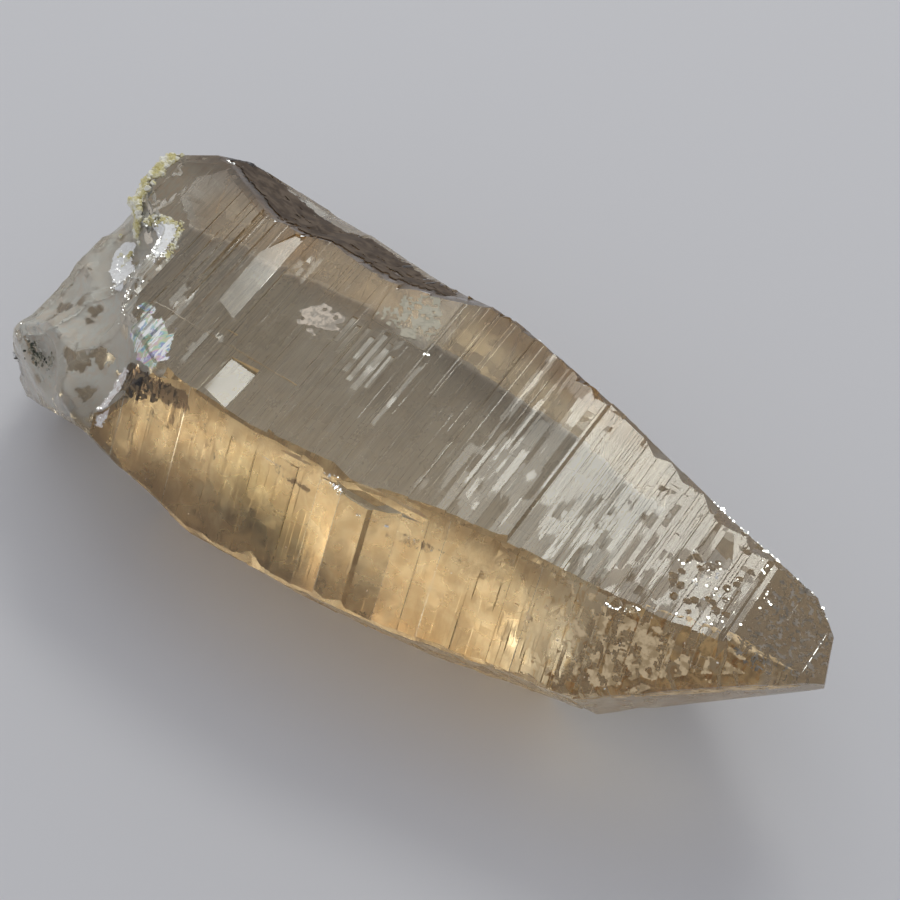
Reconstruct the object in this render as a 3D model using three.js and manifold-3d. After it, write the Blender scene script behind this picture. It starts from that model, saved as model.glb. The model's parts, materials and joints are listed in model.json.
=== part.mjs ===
// Smoky quartz crystal, about 72 mm long, lying on one of its prism faces.
//
// Quartz grows as a six-sided prism along its c-axis, and every prism face carries growth striations that
// run square across that axis. So each face is made as one long slab whose outline, seen from the side, is
// the face's own stepped profile, and the crystal is what the six slabs have in common. The tapering back,
// the rhombohedral faces that close the tip and the blunted edges come from the same slabs. Then the growth
// hollows and grooves are cut into the top face, the base is broken off, the edges are chipped and the
// crust on the broken rim is joined on.
//
// Design frame, in millimetres: +X runs along the c-axis from the broken base to the tip, +Y to the back,
// +Z up from the table. At the end the crystal is moved so that the middle of its box, at table height, is
// the origin.

import * as THREE from 'three';
import { mergeVertices } from 'three/addons/utils/BufferGeometryUtils.js';
import Module from 'manifold-3d';

const wasm = await Module();
wasm.setup();

// ---- Driving dimensions ---------------------------------------------------------------------------------

const LENGTH = 72; // from the broken base to the tip
const FACES_END = 74; // the outlines of the faces run a little past the tip
const AXIS_HEIGHT = 9.75; // the c-axis above the table
const PRISM_STEP_DEG = 60; // between neighbouring prism faces
const SLAB_REACH = 40; // how far a slab runs past the crystal, so that only its outline cuts
const SLAB_WIDTH = 70;

// Each prism face: where it looks round the axis, and its distance from the axis at points along the
// crystal. Growth steps end where the face turns into the rhombohedral face that closes the tip. A face's
// treads follow its outline, or lean towards the tip by so much for each millimetre along it.
const FACES = {
  top: {
    azimuth: 90, steps: 34, unevenness: 0.035, stepsEnd: 65.7, seed: 11,
    lean: [[0, 0], [48.3, 0], [48.7, 0.045], [65.7, 0.045]],
    outline: [[0, 9.75], [28, 9.75], [43, 9.62], [48.3, 9.52], [48.7, 9.3], [54, 9.12], [60, 8.75],
      [65.7, 8.3], [71.2, 6.45], [FACES_END, 4.9]],
  },
  front_upper: {
    azimuth: 150, steps: 34, unevenness: 0.035, stepsEnd: 66, seed: 23,
    outline: [[0, 12.3], [21, 12.4], [27, 13.2], [34, 13.3], [37.5, 13.9], [40, 13], [44, 12.6], [53, 12.2],
      [59, 11.8], [65, 11.2], [69.7, 9.8], [FACES_END, 7.8]],
  },
  front_lower: {
    azimuth: 210, steps: 32, unevenness: 0.05, stepsEnd: 56.8, seed: 37,
    outline: [[0, 8.4], [13.4, 9], [16.4, 10.1], [20.6, 11], [24.5, 12.2], [34, 12.5], [43.5, 12],
      [48.7, 11.2], [56.8, 10.4], [FACES_END, 0.75]],
  },
  bottom: {
    azimuth: 270, steps: 20, unevenness: 0, stepsEnd: 51.8, seed: 41,
    outline: [[0, 9.75], [51.8, 9.75], [FACES_END, -4.9]],
  },
  back_lower: {
    azimuth: 330, steps: 28, unevenness: 0.04, stepsEnd: 52, seed: 53,
    outline: [[0, 15.3], [26, 15.8], [44, 13.4], [52, 11.2], [FACES_END, -4.6]],
  },
  back_upper: {
    azimuth: 30, steps: 44, unevenness: 0.04, stepsEnd: 71, seed: 67,
    outline: [[0, 15.3], [11, 16.5], [16, 16.4], [20, 15.9], [30.6, 14.1], [39.4, 12.8], [49.8, 9.85],
      [60.3, 6.2], [68, 3.85], [71, 2.9], [FACES_END, 0.5]],
  },
};

// A broad sloping face cuts the upper back edge over the half nearer the base.
const BACK_SLOPE = {
  azimuth: 50,
  outline: [[0, 16.3], [8, 15.6], [11.2, 14.9], [17.3, 12.95], [20.2, 12.8], [22.5, 13.1], [28, 12.35],
    [32.3, 12.6], [36, 13.3], [41, 15.2]],
};

// The end of the tip, worn blunt by two small flats.
const TIP_ENDS = [
  { through: [LENGTH - 1.5, -1.3, 16.1], facing: [0.66, 0.75, 0] },
  { through: [LENGTH - 0.1, -4.2, 15.3], facing: [0.955, 0.295, 0.03] },
];

// ---- Small helpers --------------------------------------------------------------------------------------

const SEED_SPREAD = 7919; // keeps the runs of neighbouring seeds apart
const MULTIPLIER = 16807; // of the minimal standard generator
const MODULUS = 2147483647;

/** A repeatable source of numbers between 0 and 1, so that every build gives the same crystal. */
function numbersFrom(seed) {
  let state = seed * SEED_SPREAD;
  return () => {
    state = (state * MULTIPLIER) % MODULUS;
    return state / MODULUS;
  };
}

/** The height at x of an outline given as [x, height] points. */
function heightAt(outline, x) {
  const next = outline.findIndex(([end]) => end >= x);
  if (next === 0) return outline[0][1];
  if (next < 0) return outline[outline.length - 1][1];
  const [x0, h0] = outline[next - 1];
  const [x1, h1] = outline[next];
  return THREE.MathUtils.lerp(h0, h1, (x - x0) / (x1 - x0));
}

/** The unit vector that a face at this azimuth round the c-axis looks along. */
function facing(azimuth) {
  const angle = THREE.MathUtils.degToRad(azimuth);
  return new THREE.Vector3(0, Math.cos(angle), Math.sin(angle));
}

const MERGE_WITHIN = 1e-4;

/** A three.js geometry as a manifold solid. */
function solid(geometry) {
  const bare = geometry.clone();
  bare.deleteAttribute('normal');
  bare.deleteAttribute('uv');
  const merged = mergeVertices(bare, MERGE_WITHIN);
  return new wasm.Manifold(new wasm.Mesh({
    numProp: 3,
    vertProperties: new Float32Array(merged.attributes.position.array),
    triVerts: new Uint32Array(merged.index.array),
  }));
}

/** The turn that carries +Z onto a direction. */
function turnTo(direction) {
  return new THREE.Quaternion().setFromUnitVectors(new THREE.Vector3(0, 0, 1), direction);
}

/** Everything beyond a plane through a point, on the side that the plane faces. */
function beyond({ through, facing: outward }) {
  const size = 3 * SLAB_REACH;
  const geometry = new THREE.BoxGeometry(size, size, size);
  geometry.translate(0, 0, size / 2);
  geometry.applyQuaternion(turnTo(new THREE.Vector3(...outward).normalize()));
  geometry.translate(...through);
  return solid(geometry);
}

/** A ball, drawn out along the c-axis by a factor. */
function ball(centre, radius, sides, stretch = 1) {
  const geometry = new THREE.SphereGeometry(radius, sides, Math.round(sides * 0.6));
  geometry.scale(stretch, 1, 1);
  geometry.translate(centre.x, centre.y, centre.z);
  return solid(geometry);
}

/** The ball that leaves a shell-like hollow of the given depth in a surface. */
function shell({ at, facing: outward, radius, depth, stretch = 1, sides = 26 }) {
  const direction = new THREE.Vector3(...outward).normalize();
  return ball(new THREE.Vector3(...at).addScaledVector(direction, radius - depth), radius, sides, stretch);
}

const cutAway = (whole, cutters) => cutters.reduce((rest, cutter) => rest.subtract(cutter), whole);
const joined = (pieces) => pieces.reduce((whole, piece) => whole.add(piece));

// ---- The six-sided prism and its tip --------------------------------------------------------------------

const RISER_RUN = 0.6; // a riser's length along the axis, as a share of its height
const SHORTEST_RISER = 0.06;
const STEP_JITTER = 0.8; // how far a step may stray from even spacing, as a share of that spacing

/** A face's profile as growth left it: treads with short risers between them, then the tip's face. */
function grown({ outline, steps, unevenness, stepsEnd, seed, lean }) {
  const next = numbersFrom(seed);
  const edges = Array.from({ length: steps + 1 }, (_, i) => {
    const shift = i === 0 || i === steps ? 0 : STEP_JITTER * (next() - 0.5);
    return (stepsEnd * (i + shift)) / steps;
  });
  const points = [];
  for (let i = 0; i < steps; i += 1) {
    const tread = edges[i + 1] - edges[i];
    const middle = (edges[i] + edges[i + 1]) / 2;
    const level = heightAt(outline, middle) + unevenness * (2 * next() - 1);
    const along = heightAt(outline, edges[i]) - heightAt(outline, edges[i + 1]);
    const fall = (lean ? heightAt(lean, middle) * tread : along) / 2;
    const before = i === 0 ? level : points[points.length - 1][1];
    const run = Math.max(Math.abs(level + fall - before) * RISER_RUN, SHORTEST_RISER);
    points.push([edges[i] + (i === 0 ? 0 : Math.min(run, tread / 2)), level + fall]);
    points.push([edges[i + 1], level - fall]);
  }
  const tipFace = outline.filter(([x]) => x > stepsEnd);
  return [...points, [stepsEnd + SHORTEST_RISER, heightAt(outline, stepsEnd)], ...tipFace];
}

/** A slab that is solid from the far side of the axis up to a profile, looking along an azimuth. */
function slab(azimuth, profile) {
  const first = profile[0];
  const last = profile[profile.length - 1];
  const shape = new THREE.Shape();
  shape.moveTo(-SLAB_REACH, -SLAB_REACH);
  shape.lineTo(LENGTH + SLAB_REACH, -SLAB_REACH);
  shape.lineTo(LENGTH + SLAB_REACH, last[1]);
  for (const [x, height] of [...profile].reverse()) shape.lineTo(x, height);
  shape.lineTo(-SLAB_REACH, first[1]);
  shape.closePath();
  const geometry = new THREE.ExtrudeGeometry(shape, { depth: SLAB_WIDTH, bevelEnabled: false });
  geometry.translate(0, 0, -SLAB_WIDTH / 2);
  const along = new THREE.Vector3(1, 0, 0);
  const outward = facing(azimuth);
  const across = new THREE.Vector3().crossVectors(along, outward);
  geometry.applyMatrix4(new THREE.Matrix4().makeBasis(along, outward, across));
  geometry.translate(0, 0, AXIS_HEIGHT);
  return solid(geometry);
}

// Each edge between two prism faces is worn blunt, unevenly, and deeper where it was knocked.
const WORN = {
  stations: 52, least: 0.05, most: 0.16, knock: 0.45, knockShare: 0.16, stray: 0.6, seed: 100, seedStep: 13,
};

/** The profile of the narrow worn strip along the edge between two neighbouring prism faces. */
function wornEdge(one, other, seed) {
  const next = numbersFrom(seed);
  const corner = 2 * Math.cos(THREE.MathUtils.degToRad(PRISM_STEP_DEG / 2));
  return Array.from({ length: WORN.stations }, (_, i) => {
    const x = (FACES_END * (i + WORN.stray * (next() - 0.5))) / (WORN.stations - 1);
    const knock = next() < WORN.knockShare ? WORN.knock * next() : 0;
    const wear = THREE.MathUtils.lerp(WORN.least, WORN.most, next()) + knock;
    return [x, (heightAt(one.outline, x) + heightAt(other.outline, x)) / corner - wear];
  });
}

/** The crystal as it grew: what its faces' slabs have in common, with the tip's end worn flat. */
function prism() {
  const faces = Object.values(FACES);
  const slabs = faces.map((face) => slab(face.azimuth, grown(face)));
  faces.forEach((face, i) => {
    const neighbour = faces[(i + 1) % faces.length];
    const worn = wornEdge(face, neighbour, WORN.seed + i * WORN.seedStep);
    slabs.push(slab(face.azimuth + PRISM_STEP_DEG / 2, worn));
  });
  slabs.push(slab(BACK_SLOPE.azimuth, BACK_SLOPE.outline));
  return cutAway(slabs.reduce((whole, part) => whole.intersect(part)), TIP_ENDS.map(beyond));
}

// ---- Growth hollows and grooves in the top face ---------------------------------------------------------

// Shallow hollows of flat floors. Each outline is seen from above; the floor leaves the top face along the
// outline's side nearest the base, less a drop, and slopes by so much for each millimetre along X and Y.
const HOLLOWS = [
  {
    outline: [[18.8, -0.7], [20.8, -1.7], [20.7, 8.3], [19.8, 8.1], [18.6, 5.1]],
    slope: [-0.14, 0], drop: 0.02,
  },
  { outline: [[22.9, -8.4], [22.9, -4.9], [25.4, -4.9], [25.3, -9.2]], slope: [-0.135, -0.03], drop: 0.1 },
  { outline: [[20.6, -4.2], [20.6, -2.9], [22.1, -2.9], [22.1, -4.2]], slope: [-0.1, 0], drop: 0.02 },
  { outline: [[14.6, -3.4], [28.6, -4.7], [29.4, -11], [14, -11]], slope: [0, 0.006], drop: 0.07 },
  { outline: [[29.6, 3.7], [28.7, 10.2], [34.6, 10.2], [34.6, 3.1]], slope: [-0.05, 0.01], drop: 0.05 },
  {
    outline: [[60.4, 1.9], [60.2, -1.8], [61.6, -2.7], [64.8, -1.6], [65.2, 0.6]],
    slope: [0.02, 0.03], drop: 0.12,
  },
];

const HOLLOW_HEIGHT = 3; // how far what is cut away reaches above the floor

// Narrow grooves side by side across the top face, each with its two ends along Y, nearest the base first.
const GROOVE_SLOPE = -0.12;
const GROOVE_DROP = 0.03;
const GROOVES = {
  first: 28.3, pitch: 0.74, width: 0.44,
  ends: [[0.4, 3.2], [-0.5, 2.6], [-1.2, 2.9], [-1.7, 2.2], [-2.3, 3.2], [-2.8, 2.4], [-2.2, 1.4]],
};

// More grooves across the part of the top face nearer the tip.
const TIP_GROOVES = [
  { x: 52.4, width: 0.5, ends: [-1.6, 4.1] }, { x: 53.4, width: 0.4, ends: [-4.1, 4.4] },
  { x: 54.6, width: 0.35, ends: [-5.6, 1.2] }, { x: 56.2, width: 0.5, ends: [-6.4, 2.2] },
  { x: 57.1, width: 0.45, ends: [-5.1, 2.0] }, { x: 58.3, width: 0.35, ends: [-6.8, -1.4] },
  { x: 59.5, width: 0.5, ends: [-7.2, 2.4] }, { x: 64.2, width: 0.35, ends: [-7.6, -3.2] },
];

/** What is cut away above a sloping floor inside an outline seen from above. */
function hollow({ outline, slope: [slopeX, slopeY], drop }) {
  const shape = new THREE.Shape(outline.map(([x, y]) => new THREE.Vector2(x, y)));
  const geometry = new THREE.ExtrudeGeometry(shape, { depth: HOLLOW_HEIGHT, bevelEnabled: false });
  const startX = Math.min(...outline.map(([x]) => x));
  const startY = outline[0][1];
  const level = AXIS_HEIGHT + heightAt(FACES.top.outline, startX) - drop;
  const position = geometry.attributes.position;
  for (let i = 0; i < position.count; i += 1) {
    const floor = level + slopeX * (position.getX(i) - startX) + slopeY * (position.getY(i) - startY);
    position.setZ(i, floor + position.getZ(i));
  }
  return solid(geometry);
}

/** A narrow groove across the top face between two places along Y, sloping down along X. */
function groove({ x, width, ends: [from, to] }) {
  const outline = [[x, from], [x, to], [x + width, to], [x + width, from]];
  return hollow({ outline, slope: [GROOVE_SLOPE, 0], drop: GROOVE_DROP });
}

function growthMarks() {
  const { first, pitch, width } = GROOVES;
  const flight = GROOVES.ends.map((ends, i) => groove({ x: first + i * pitch, width, ends }));
  return [...HOLLOWS.map(hollow), ...flight, ...TIP_GROOVES.map(groove)];
}

// ---- The broken base ------------------------------------------------------------------------------------

// Flat breaks across the base, each a point on it and the way it faces.
const BREAKS = [
  { through: [12.8, -4.5, 19.5], facing: [-0.55, -0.15, 0.82] }, // the long slope down from the top face
  { through: [16.2, -6.9, 19.5], facing: [-0.36, -0.6, 0.71] }, // the slope towards the front
  { through: [13.4, -12.4, 13.2], facing: [-0.45, -0.85, -0.05] }, // the front of the knob
  { through: [3.4, 0, 13.4], facing: [-0.93, 0.05, 0.37] }, // the end's upper part
  { through: [0, 0, 7.5], facing: [-1, 0, 0.02] }, // the end
  { through: [1.2, 0, 3.4], facing: [-0.75, 0.1, -0.65] }, // under the end
  { through: [3.6, 9.8, 13.4], facing: [-0.7, 0.62, 0.35] }, // the back corner
];
const RIM_BREAK = { through: [6.9, 10.3, 19.5], facing: [-0.42, 0.68, 0.6] }; // the top of the back corner

// Shell-like hollows left by the break.
const BREAK_SHELLS = [
  { at: [8.2, 1.2, 16.2], facing: [-0.55, -0.15, 0.82], radius: 7.5, depth: 0.75 },
  { at: [10.2, -4.6, 16.6], facing: [-0.5, -0.3, 0.8], radius: 5.2, depth: 0.8 },
  { at: [5.2, -2.6, 13.6], facing: [-0.62, -0.2, 0.76], radius: 4.6, depth: 0.7 },
  { at: [13.4, -8.6, 16.2], facing: [-0.36, -0.6, 0.71], radius: 8, depth: 0.8 },
  { at: [7.2, -8.4, 11.4], facing: [-0.5, -0.66, 0.4], radius: 5, depth: 0.7 },
  { at: [4.9, 5.6, 15.2], facing: [-0.75, 0.1, 0.65], radius: 5.2, depth: 0.5 },
  { at: [1.2, 3, 10], facing: [-1, 0.1, 0.2], radius: 7, depth: 0.8 },
  { at: [0.8, -3.6, 7], facing: [-1, -0.2, -0.05], radius: 5.4, depth: 0.7 },
  { at: [2.6, 9, 7.5], facing: [-0.8, 0.55, 0], radius: 8, depth: 0.9 },
];

// The back corner of the rim stands proud of the slope beside it: a rounded block that the slope spares.
const RIM_CORNER = {
  centre: [13.4, 10.6, 14.2], radius: 9.4, ballSides: 34,
  sides: [
    { through: [6, 6.5, 18.6], facing: [-0.93, 0.02, 0.36] },
    { through: [8.6, 3.2, 19], facing: [-0.3, -0.9, 0.3] },
  ],
};

// A pit in the end of the base.
const END_PIT = [
  { at: [1.4, -3.6, 5.6], facing: [-1, -0.2, 0.2], radius: 0.9, depth: 0.8, sides: 8 },
  { at: [1.3, -2.6, 4.7], facing: [-1, 0, 0.1], radius: 0.7, depth: 0.6, sides: 8 },
];

/** The crystal with its root end broken off. */
function broken(whole) {
  const around = ball(new THREE.Vector3(...RIM_CORNER.centre), RIM_CORNER.radius, RIM_CORNER.ballSides);
  const corner = cutAway(whole.intersect(around), RIM_CORNER.sides.map(beyond));
  const rest = cutAway(whole, [...BREAKS.map(beyond), ...BREAK_SHELLS.map(shell)]);
  return cutAway(rest.add(corner), [beyond(RIM_BREAK), ...END_PIT.map(shell)]);
}

// ---- Chips along the edges ------------------------------------------------------------------------------

// Chips where the front upper face meets the top face: how far down the front face each lies, and its
// shape.
const FRONT_CHIPS = [
  { x: 32.2, down: 0.9, radius: 1.1, depth: 0.12, stretch: 4 },
  { x: 35.4, down: 0.5, radius: 0.8, depth: 0.12, stretch: 2 },
  { x: 37.2, down: 0.3, radius: 0.6, depth: 0.22, stretch: 1.2 },
  { x: 38.4, down: 0.5, radius: 0.6, depth: 0.2, stretch: 1.1 },
  { x: 42.4, down: 1, radius: 1, depth: 0.09, stretch: 7 },
  { x: 57.6, down: 0.3, radius: 0.6, depth: 0.22, stretch: 1.3 },
  { x: 59, down: 0.2, radius: 0.6, depth: 0.22, stretch: 1.5 },
  { x: 61.5, down: 0.8, radius: 0.8, depth: 0.15, stretch: 1.8 },
];
const CHIP_SIDES = 12;

// Small knocks along the back edge of the top face where the crystal narrows to its tip.
const BACK_CHIPS = {
  count: 13, from: 59.6, to: 69.4, least: 0.35, most: 0.75, depthShare: 0.55, sides: 8, seed: 5,
};

// Pits in the top face just before the tip.
const PITS = {
  count: 22, centre: [62.6, -4.2], reach: [2.9, 2.6],
  least: 0.18, most: 0.42, depthShare: 0.6, sides: 6, seed: 9,
};

/** A point on the edge between the top face and a neighbouring face. */
function topEdge(face, x) {
  const height = heightAt(FACES.top.outline, x);
  const outward = facing(face.azimuth);
  const sideways = (heightAt(face.outline, x) - height * outward.z) / outward.y;
  return new THREE.Vector3(x, sideways, AXIS_HEIGHT + height);
}

function frontChips() {
  const face = FACES.front_upper;
  const outward = facing(face.azimuth);
  const downward = new THREE.Vector3(0, -outward.z, outward.y);
  return FRONT_CHIPS.map(({ x, down, ...shape }) => {
    const at = topEdge(face, x).addScaledVector(downward, down).toArray();
    return shell({ ...shape, at, facing: outward.toArray(), sides: CHIP_SIDES });
  });
}

function backChips() {
  const next = numbersFrom(BACK_CHIPS.seed);
  const { count, from, to, least, most, depthShare, sides } = BACK_CHIPS;
  return Array.from({ length: count }, (_, i) => {
    const x = THREE.MathUtils.lerp(from, to, (i + next()) / count);
    const at = topEdge(FACES.back_upper, x).toArray();
    const radius = THREE.MathUtils.lerp(least, most, next());
    return shell({ at, facing: [0, 0.5, 0.85], radius, depth: radius * depthShare, sides });
  });
}

function pits() {
  const next = numbersFrom(PITS.seed);
  const { count, centre, reach, least, most, depthShare, sides } = PITS;
  return Array.from({ length: count }, () => {
    const turn = 2 * Math.PI * next();
    const out = Math.sqrt(next());
    const x = centre[0] + reach[0] * out * Math.cos(turn);
    const y = centre[1] + reach[1] * out * Math.sin(turn);
    const at = [x, y, AXIS_HEIGHT + heightAt(FACES.top.outline, x)];
    const radius = THREE.MathUtils.lerp(least, most, next());
    return shell({ at, facing: [0, 0, 1], radius, depth: radius * depthShare, sides, stretch: 1 + next() });
  });
}

// ---- The crust on the broken rim ------------------------------------------------------------------------

// Small crystals grown along the rim: lines from one point to another, with how many and how large.
const CRUST = [
  { from: [9.2, 3.1, 18.7], to: [7.1, 5, 18.4], count: 9, least: 0.35, most: 0.55 },
  { from: [6.8, 5, 18.2], to: [6.6, 9.3, 18.1], count: 18, least: 0.4, most: 0.65 },
  { from: [6.9, 9, 18.4], to: [9.4, 10.9, 18.9], count: 11, least: 0.35, most: 0.6 },
  { from: [9.8, 4, 19.3], to: [12, 3.4, 19.3], count: 9, least: 0.3, most: 0.45 },
  { from: [12.3, 3.2, 19.2], to: [13.1, -1.8, 19.1], count: 12, least: 0.3, most: 0.45 },
  { from: [1.1, -5.2, 7.2], to: [1.4, -1.9, 3.8], count: 10, least: 0.45, most: 0.65 },
];
const CRUST_PROUD = 0.35; // how far a small crystal may stand above the top face
const CRUST_STRAY = 0.5; // how far one may lie off its line
const CRUST_SEED = 33;

function crust() {
  const next = numbersFrom(CRUST_SEED);
  const highest = AXIS_HEIGHT + FACES.top.outline[0][1] + CRUST_PROUD;
  const stray = () => CRUST_STRAY * (next() - 0.5);
  return CRUST.flatMap(({ from, to, count, least, most }) => Array.from({ length: count }, (_, i) => {
    const size = THREE.MathUtils.lerp(least, most, next());
    const geometry = new THREE.OctahedronGeometry(size);
    geometry.applyQuaternion(turnTo(new THREE.Vector3(stray(), stray(), stray()).normalize()));
    const at = new THREE.Vector3(...from).lerp(new THREE.Vector3(...to), (i + 0.5) / count);
    geometry.translate(at.x + stray(), at.y + stray(), Math.min(at.z + stray(), highest - size));
    return solid(geometry);
  }));
}

// ---- Assembly -------------------------------------------------------------------------------------------

/** A manifold solid as a three.js geometry. */
function geometryOf(manifold) {
  const { vertProperties, triVerts } = manifold.getMesh();
  const geometry = new THREE.BufferGeometry();
  geometry.setAttribute('position', new THREE.BufferAttribute(new Float32Array(vertProperties), 3));
  geometry.setIndex(new THREE.BufferAttribute(new Uint32Array(triVerts), 1));
  return geometry;
}

const marked = cutAway(prism(), growthMarks());
const chipped = cutAway(broken(marked), [...frontChips(), ...backChips(), ...pits()]);

const crystal = new THREE.Mesh(
  geometryOf(joined([chipped, ...crust()])),
  new THREE.MeshStandardMaterial({ color: 0x9a8464, roughness: 0.08, metalness: 0 }),
);
crystal.name = 'smoky_quartz_crystal';

const middle = new THREE.Box3().setFromObject(crystal).getCenter(new THREE.Vector3());
crystal.position.set(-middle.x, -middle.y, 0);

const group = new THREE.Group();
group.add(crystal);
export default group;
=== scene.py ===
"""Smoky quartz crystal: the looks of the crystal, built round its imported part.

The crystal lies on one of its prism faces. Its c-axis runs along X from the broken base to the tip, the back
is at +Y and the table at Z = 0. Lengths in this file are in metres where Blender takes them, and in
millimetres, measured from the foot of the c-axis, where a name ends in _MM or a comment says so.
"""

import json
import math
import random

import bmesh
import bpy
import numpy as np
from mathutils import Matrix, Vector, noise
from mathutils.bvhtree import BVHTree

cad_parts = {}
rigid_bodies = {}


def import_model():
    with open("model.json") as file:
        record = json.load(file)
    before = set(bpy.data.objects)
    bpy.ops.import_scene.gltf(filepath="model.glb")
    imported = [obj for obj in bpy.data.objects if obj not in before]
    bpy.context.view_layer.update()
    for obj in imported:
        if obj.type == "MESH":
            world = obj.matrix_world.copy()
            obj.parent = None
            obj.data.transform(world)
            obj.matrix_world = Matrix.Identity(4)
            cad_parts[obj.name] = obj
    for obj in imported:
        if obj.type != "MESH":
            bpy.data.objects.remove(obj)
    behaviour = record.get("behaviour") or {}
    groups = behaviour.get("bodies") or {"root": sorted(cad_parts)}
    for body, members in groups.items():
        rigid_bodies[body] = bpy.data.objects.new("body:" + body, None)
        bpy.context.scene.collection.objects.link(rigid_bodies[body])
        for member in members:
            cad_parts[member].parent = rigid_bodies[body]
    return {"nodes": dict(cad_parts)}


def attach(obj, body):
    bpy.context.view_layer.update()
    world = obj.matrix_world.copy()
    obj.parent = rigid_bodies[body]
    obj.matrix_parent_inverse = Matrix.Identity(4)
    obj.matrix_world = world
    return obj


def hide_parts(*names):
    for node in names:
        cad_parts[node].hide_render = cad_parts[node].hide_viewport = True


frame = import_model()
bpy.context.view_layer.update()

bl_info = {
    "name": "Smoky quartz crystal",
    "version": (1, 0, 0),
    "blender": (4, 5, 0),
    "location": "3D View > Sidebar > Crystal",
    "description": "Builds a smoky quartz crystal with growth striations, inner fractures and a broken base",
    "category": "Add Mesh",
}

MM = 0.001
NODE = "smoky_quartz_crystal"
BODY = "root"

# Where the foot of the c-axis lies in the part's frame, and how high the axis runs over the table, in mm.
AXIS_FOOT_MM = (-36.1, -1.679)
AXIS_HEIGHT_MM = 9.75

# The azimuths of the prism faces round the c-axis, in degrees from +Y towards +Z, and of the slope at the back.
FACE_AZIMUTHS = {
    "top": 90, "front_upper": 150, "front_lower": 210, "bottom": 270,
    "back_lower": 330, "back_upper": 30, "back_slope": 50,
}


def here(x, y, z):
    """A point given in mm from the foot of the c-axis, in metres in the part's frame."""
    return Vector(((x + AXIS_FOOT_MM[0]) * MM, (y + AXIS_FOOT_MM[1]) * MM, z * MM))


def facing(azimuth):
    """The unit vector that a face at this azimuth round the c-axis looks along."""
    angle = math.radians(azimuth)
    return np.array([0.0, math.cos(angle), math.sin(angle)])


# ---- Settings -------------------------------------------------------------------------------------------


class CrystalSettings(bpy.types.PropertyGroup):
    """Sizes of the crystal's fine surface."""

    seed: bpy.props.IntProperty(name="Seed", description="Which run of chance the surface follows", default=7)
    cuts_round: bpy.props.IntProperty(
        name="Cuts round the axis", description="How many planes through the c-axis divide the faces", default=60
    )
    riser: bpy.props.FloatProperty(
        name="Riser width", description="Width of the step between two growth treads",
        default=0.04 * MM, unit="LENGTH", precision=6,
    )
    break_grain: bpy.props.FloatProperty(
        name="Grain of the break", description="Spacing of the points that shape the broken base",
        default=0.42 * MM, unit="LENGTH", precision=6,
    )
    break_ripple: bpy.props.FloatProperty(
        name="Ripple of the break", description="Height of the ripples on the broken base",
        default=0.1 * MM, unit="LENGTH", precision=6,
    )
    smooth_within: bpy.props.FloatProperty(
        name="Smooth within", description="Edges that turn by less than this many degrees look smooth", default=2.0
    )


class FinishSettings(bpy.types.PropertyGroup):
    """Colours of the smoky quartz."""

    smoke: bpy.props.FloatVectorProperty(
        name="Smoke colour", description="Colour of light that has crossed the crystal",
        subtype="COLOR", size=3, min=0, max=1, default=(0.80, 0.58, 0.22),
    )
    density: bpy.props.FloatProperty(
        name="Smoke density", description="How fast the crystal takes up light, for each metre", default=11.5
    )
    # The gold tints are partly the crystal's smoky colour and partly a painted glow of the light that crosses the
    # crystal and leaves through the front faces.
    gold: bpy.props.FloatVectorProperty(
        name="Gold", description="Tint of the front face",
        subtype="COLOR", size=3, min=0, max=1, default=(0.74, 0.47, 0.19),
    )
    pale_gold: bpy.props.FloatVectorProperty(
        name="Pale gold", description="Tint of the front face where it is lightest",
        subtype="COLOR", size=3, min=0, max=1, default=(0.86, 0.61, 0.29),
    )
    # Painted light: the gold grows lighter towards the tip, where the crystal would otherwise look darker.
    glow_gold: bpy.props.FloatVectorProperty(
        name="Bright gold", description="Tint of the front face nearer the tip",
        subtype="COLOR", size=3, min=0, max=1, default=(1.0, 0.86, 0.58),
    )
    deep_gold: bpy.props.FloatVectorProperty(
        name="Deep gold", description="Tint of the streaks down the front face",
        subtype="COLOR", size=3, min=0, max=1, default=(0.52, 0.29, 0.10),
    )
    amber: bpy.props.FloatVectorProperty(
        name="Amber", description="Tint of the back and under faces",
        subtype="COLOR", size=3, min=0, max=1, default=(0.84, 0.54, 0.22),
    )
    stain: bpy.props.FloatVectorProperty(
        name="Stain", description="Tint of the dark brown marks",
        subtype="COLOR", size=3, min=0, max=1, default=(0.10, 0.055, 0.025),
    )


class StageSettings(bpy.types.PropertyGroup):
    """The floor, the lights and the camera."""

    floor_colour: bpy.props.FloatVectorProperty(
        name="Floor colour", description="Colour of the pale floor",
        subtype="COLOR", size=3, min=0, max=1, default=(0.72, 0.71, 0.74),
    )
    sky: bpy.props.FloatProperty(name="Sky strength", description="Strength of the soft light all round", default=0.5)


# ---- Small helpers --------------------------------------------------------------------------------------


def only(piece):
    """Selects one object and nothing else."""
    bpy.ops.object.select_all(action="DESELECT")
    piece.select_set(True)
    bpy.context.view_layer.objects.active = piece


def edit(piece):
    only(piece)
    bpy.ops.object.mode_set(mode="EDIT")


def leave_edit():
    bpy.ops.object.mode_set(mode="OBJECT")


def points_of(mesh):
    co = np.empty(len(mesh.vertices) * 3, np.float32)
    mesh.vertices.foreach_get("co", co)
    return co.reshape(-1, 3).astype(float)


def set_points(mesh, points):
    mesh.vertices.foreach_set("co", points.astype(np.float32).ravel())
    mesh.update()


def finish_piece(piece, material):
    """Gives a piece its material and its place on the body."""
    piece.data.materials.clear()
    piece.data.materials.append(material)
    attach(piece, BODY)


# ---- Materials ------------------------------------------------------------------------------------------


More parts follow.
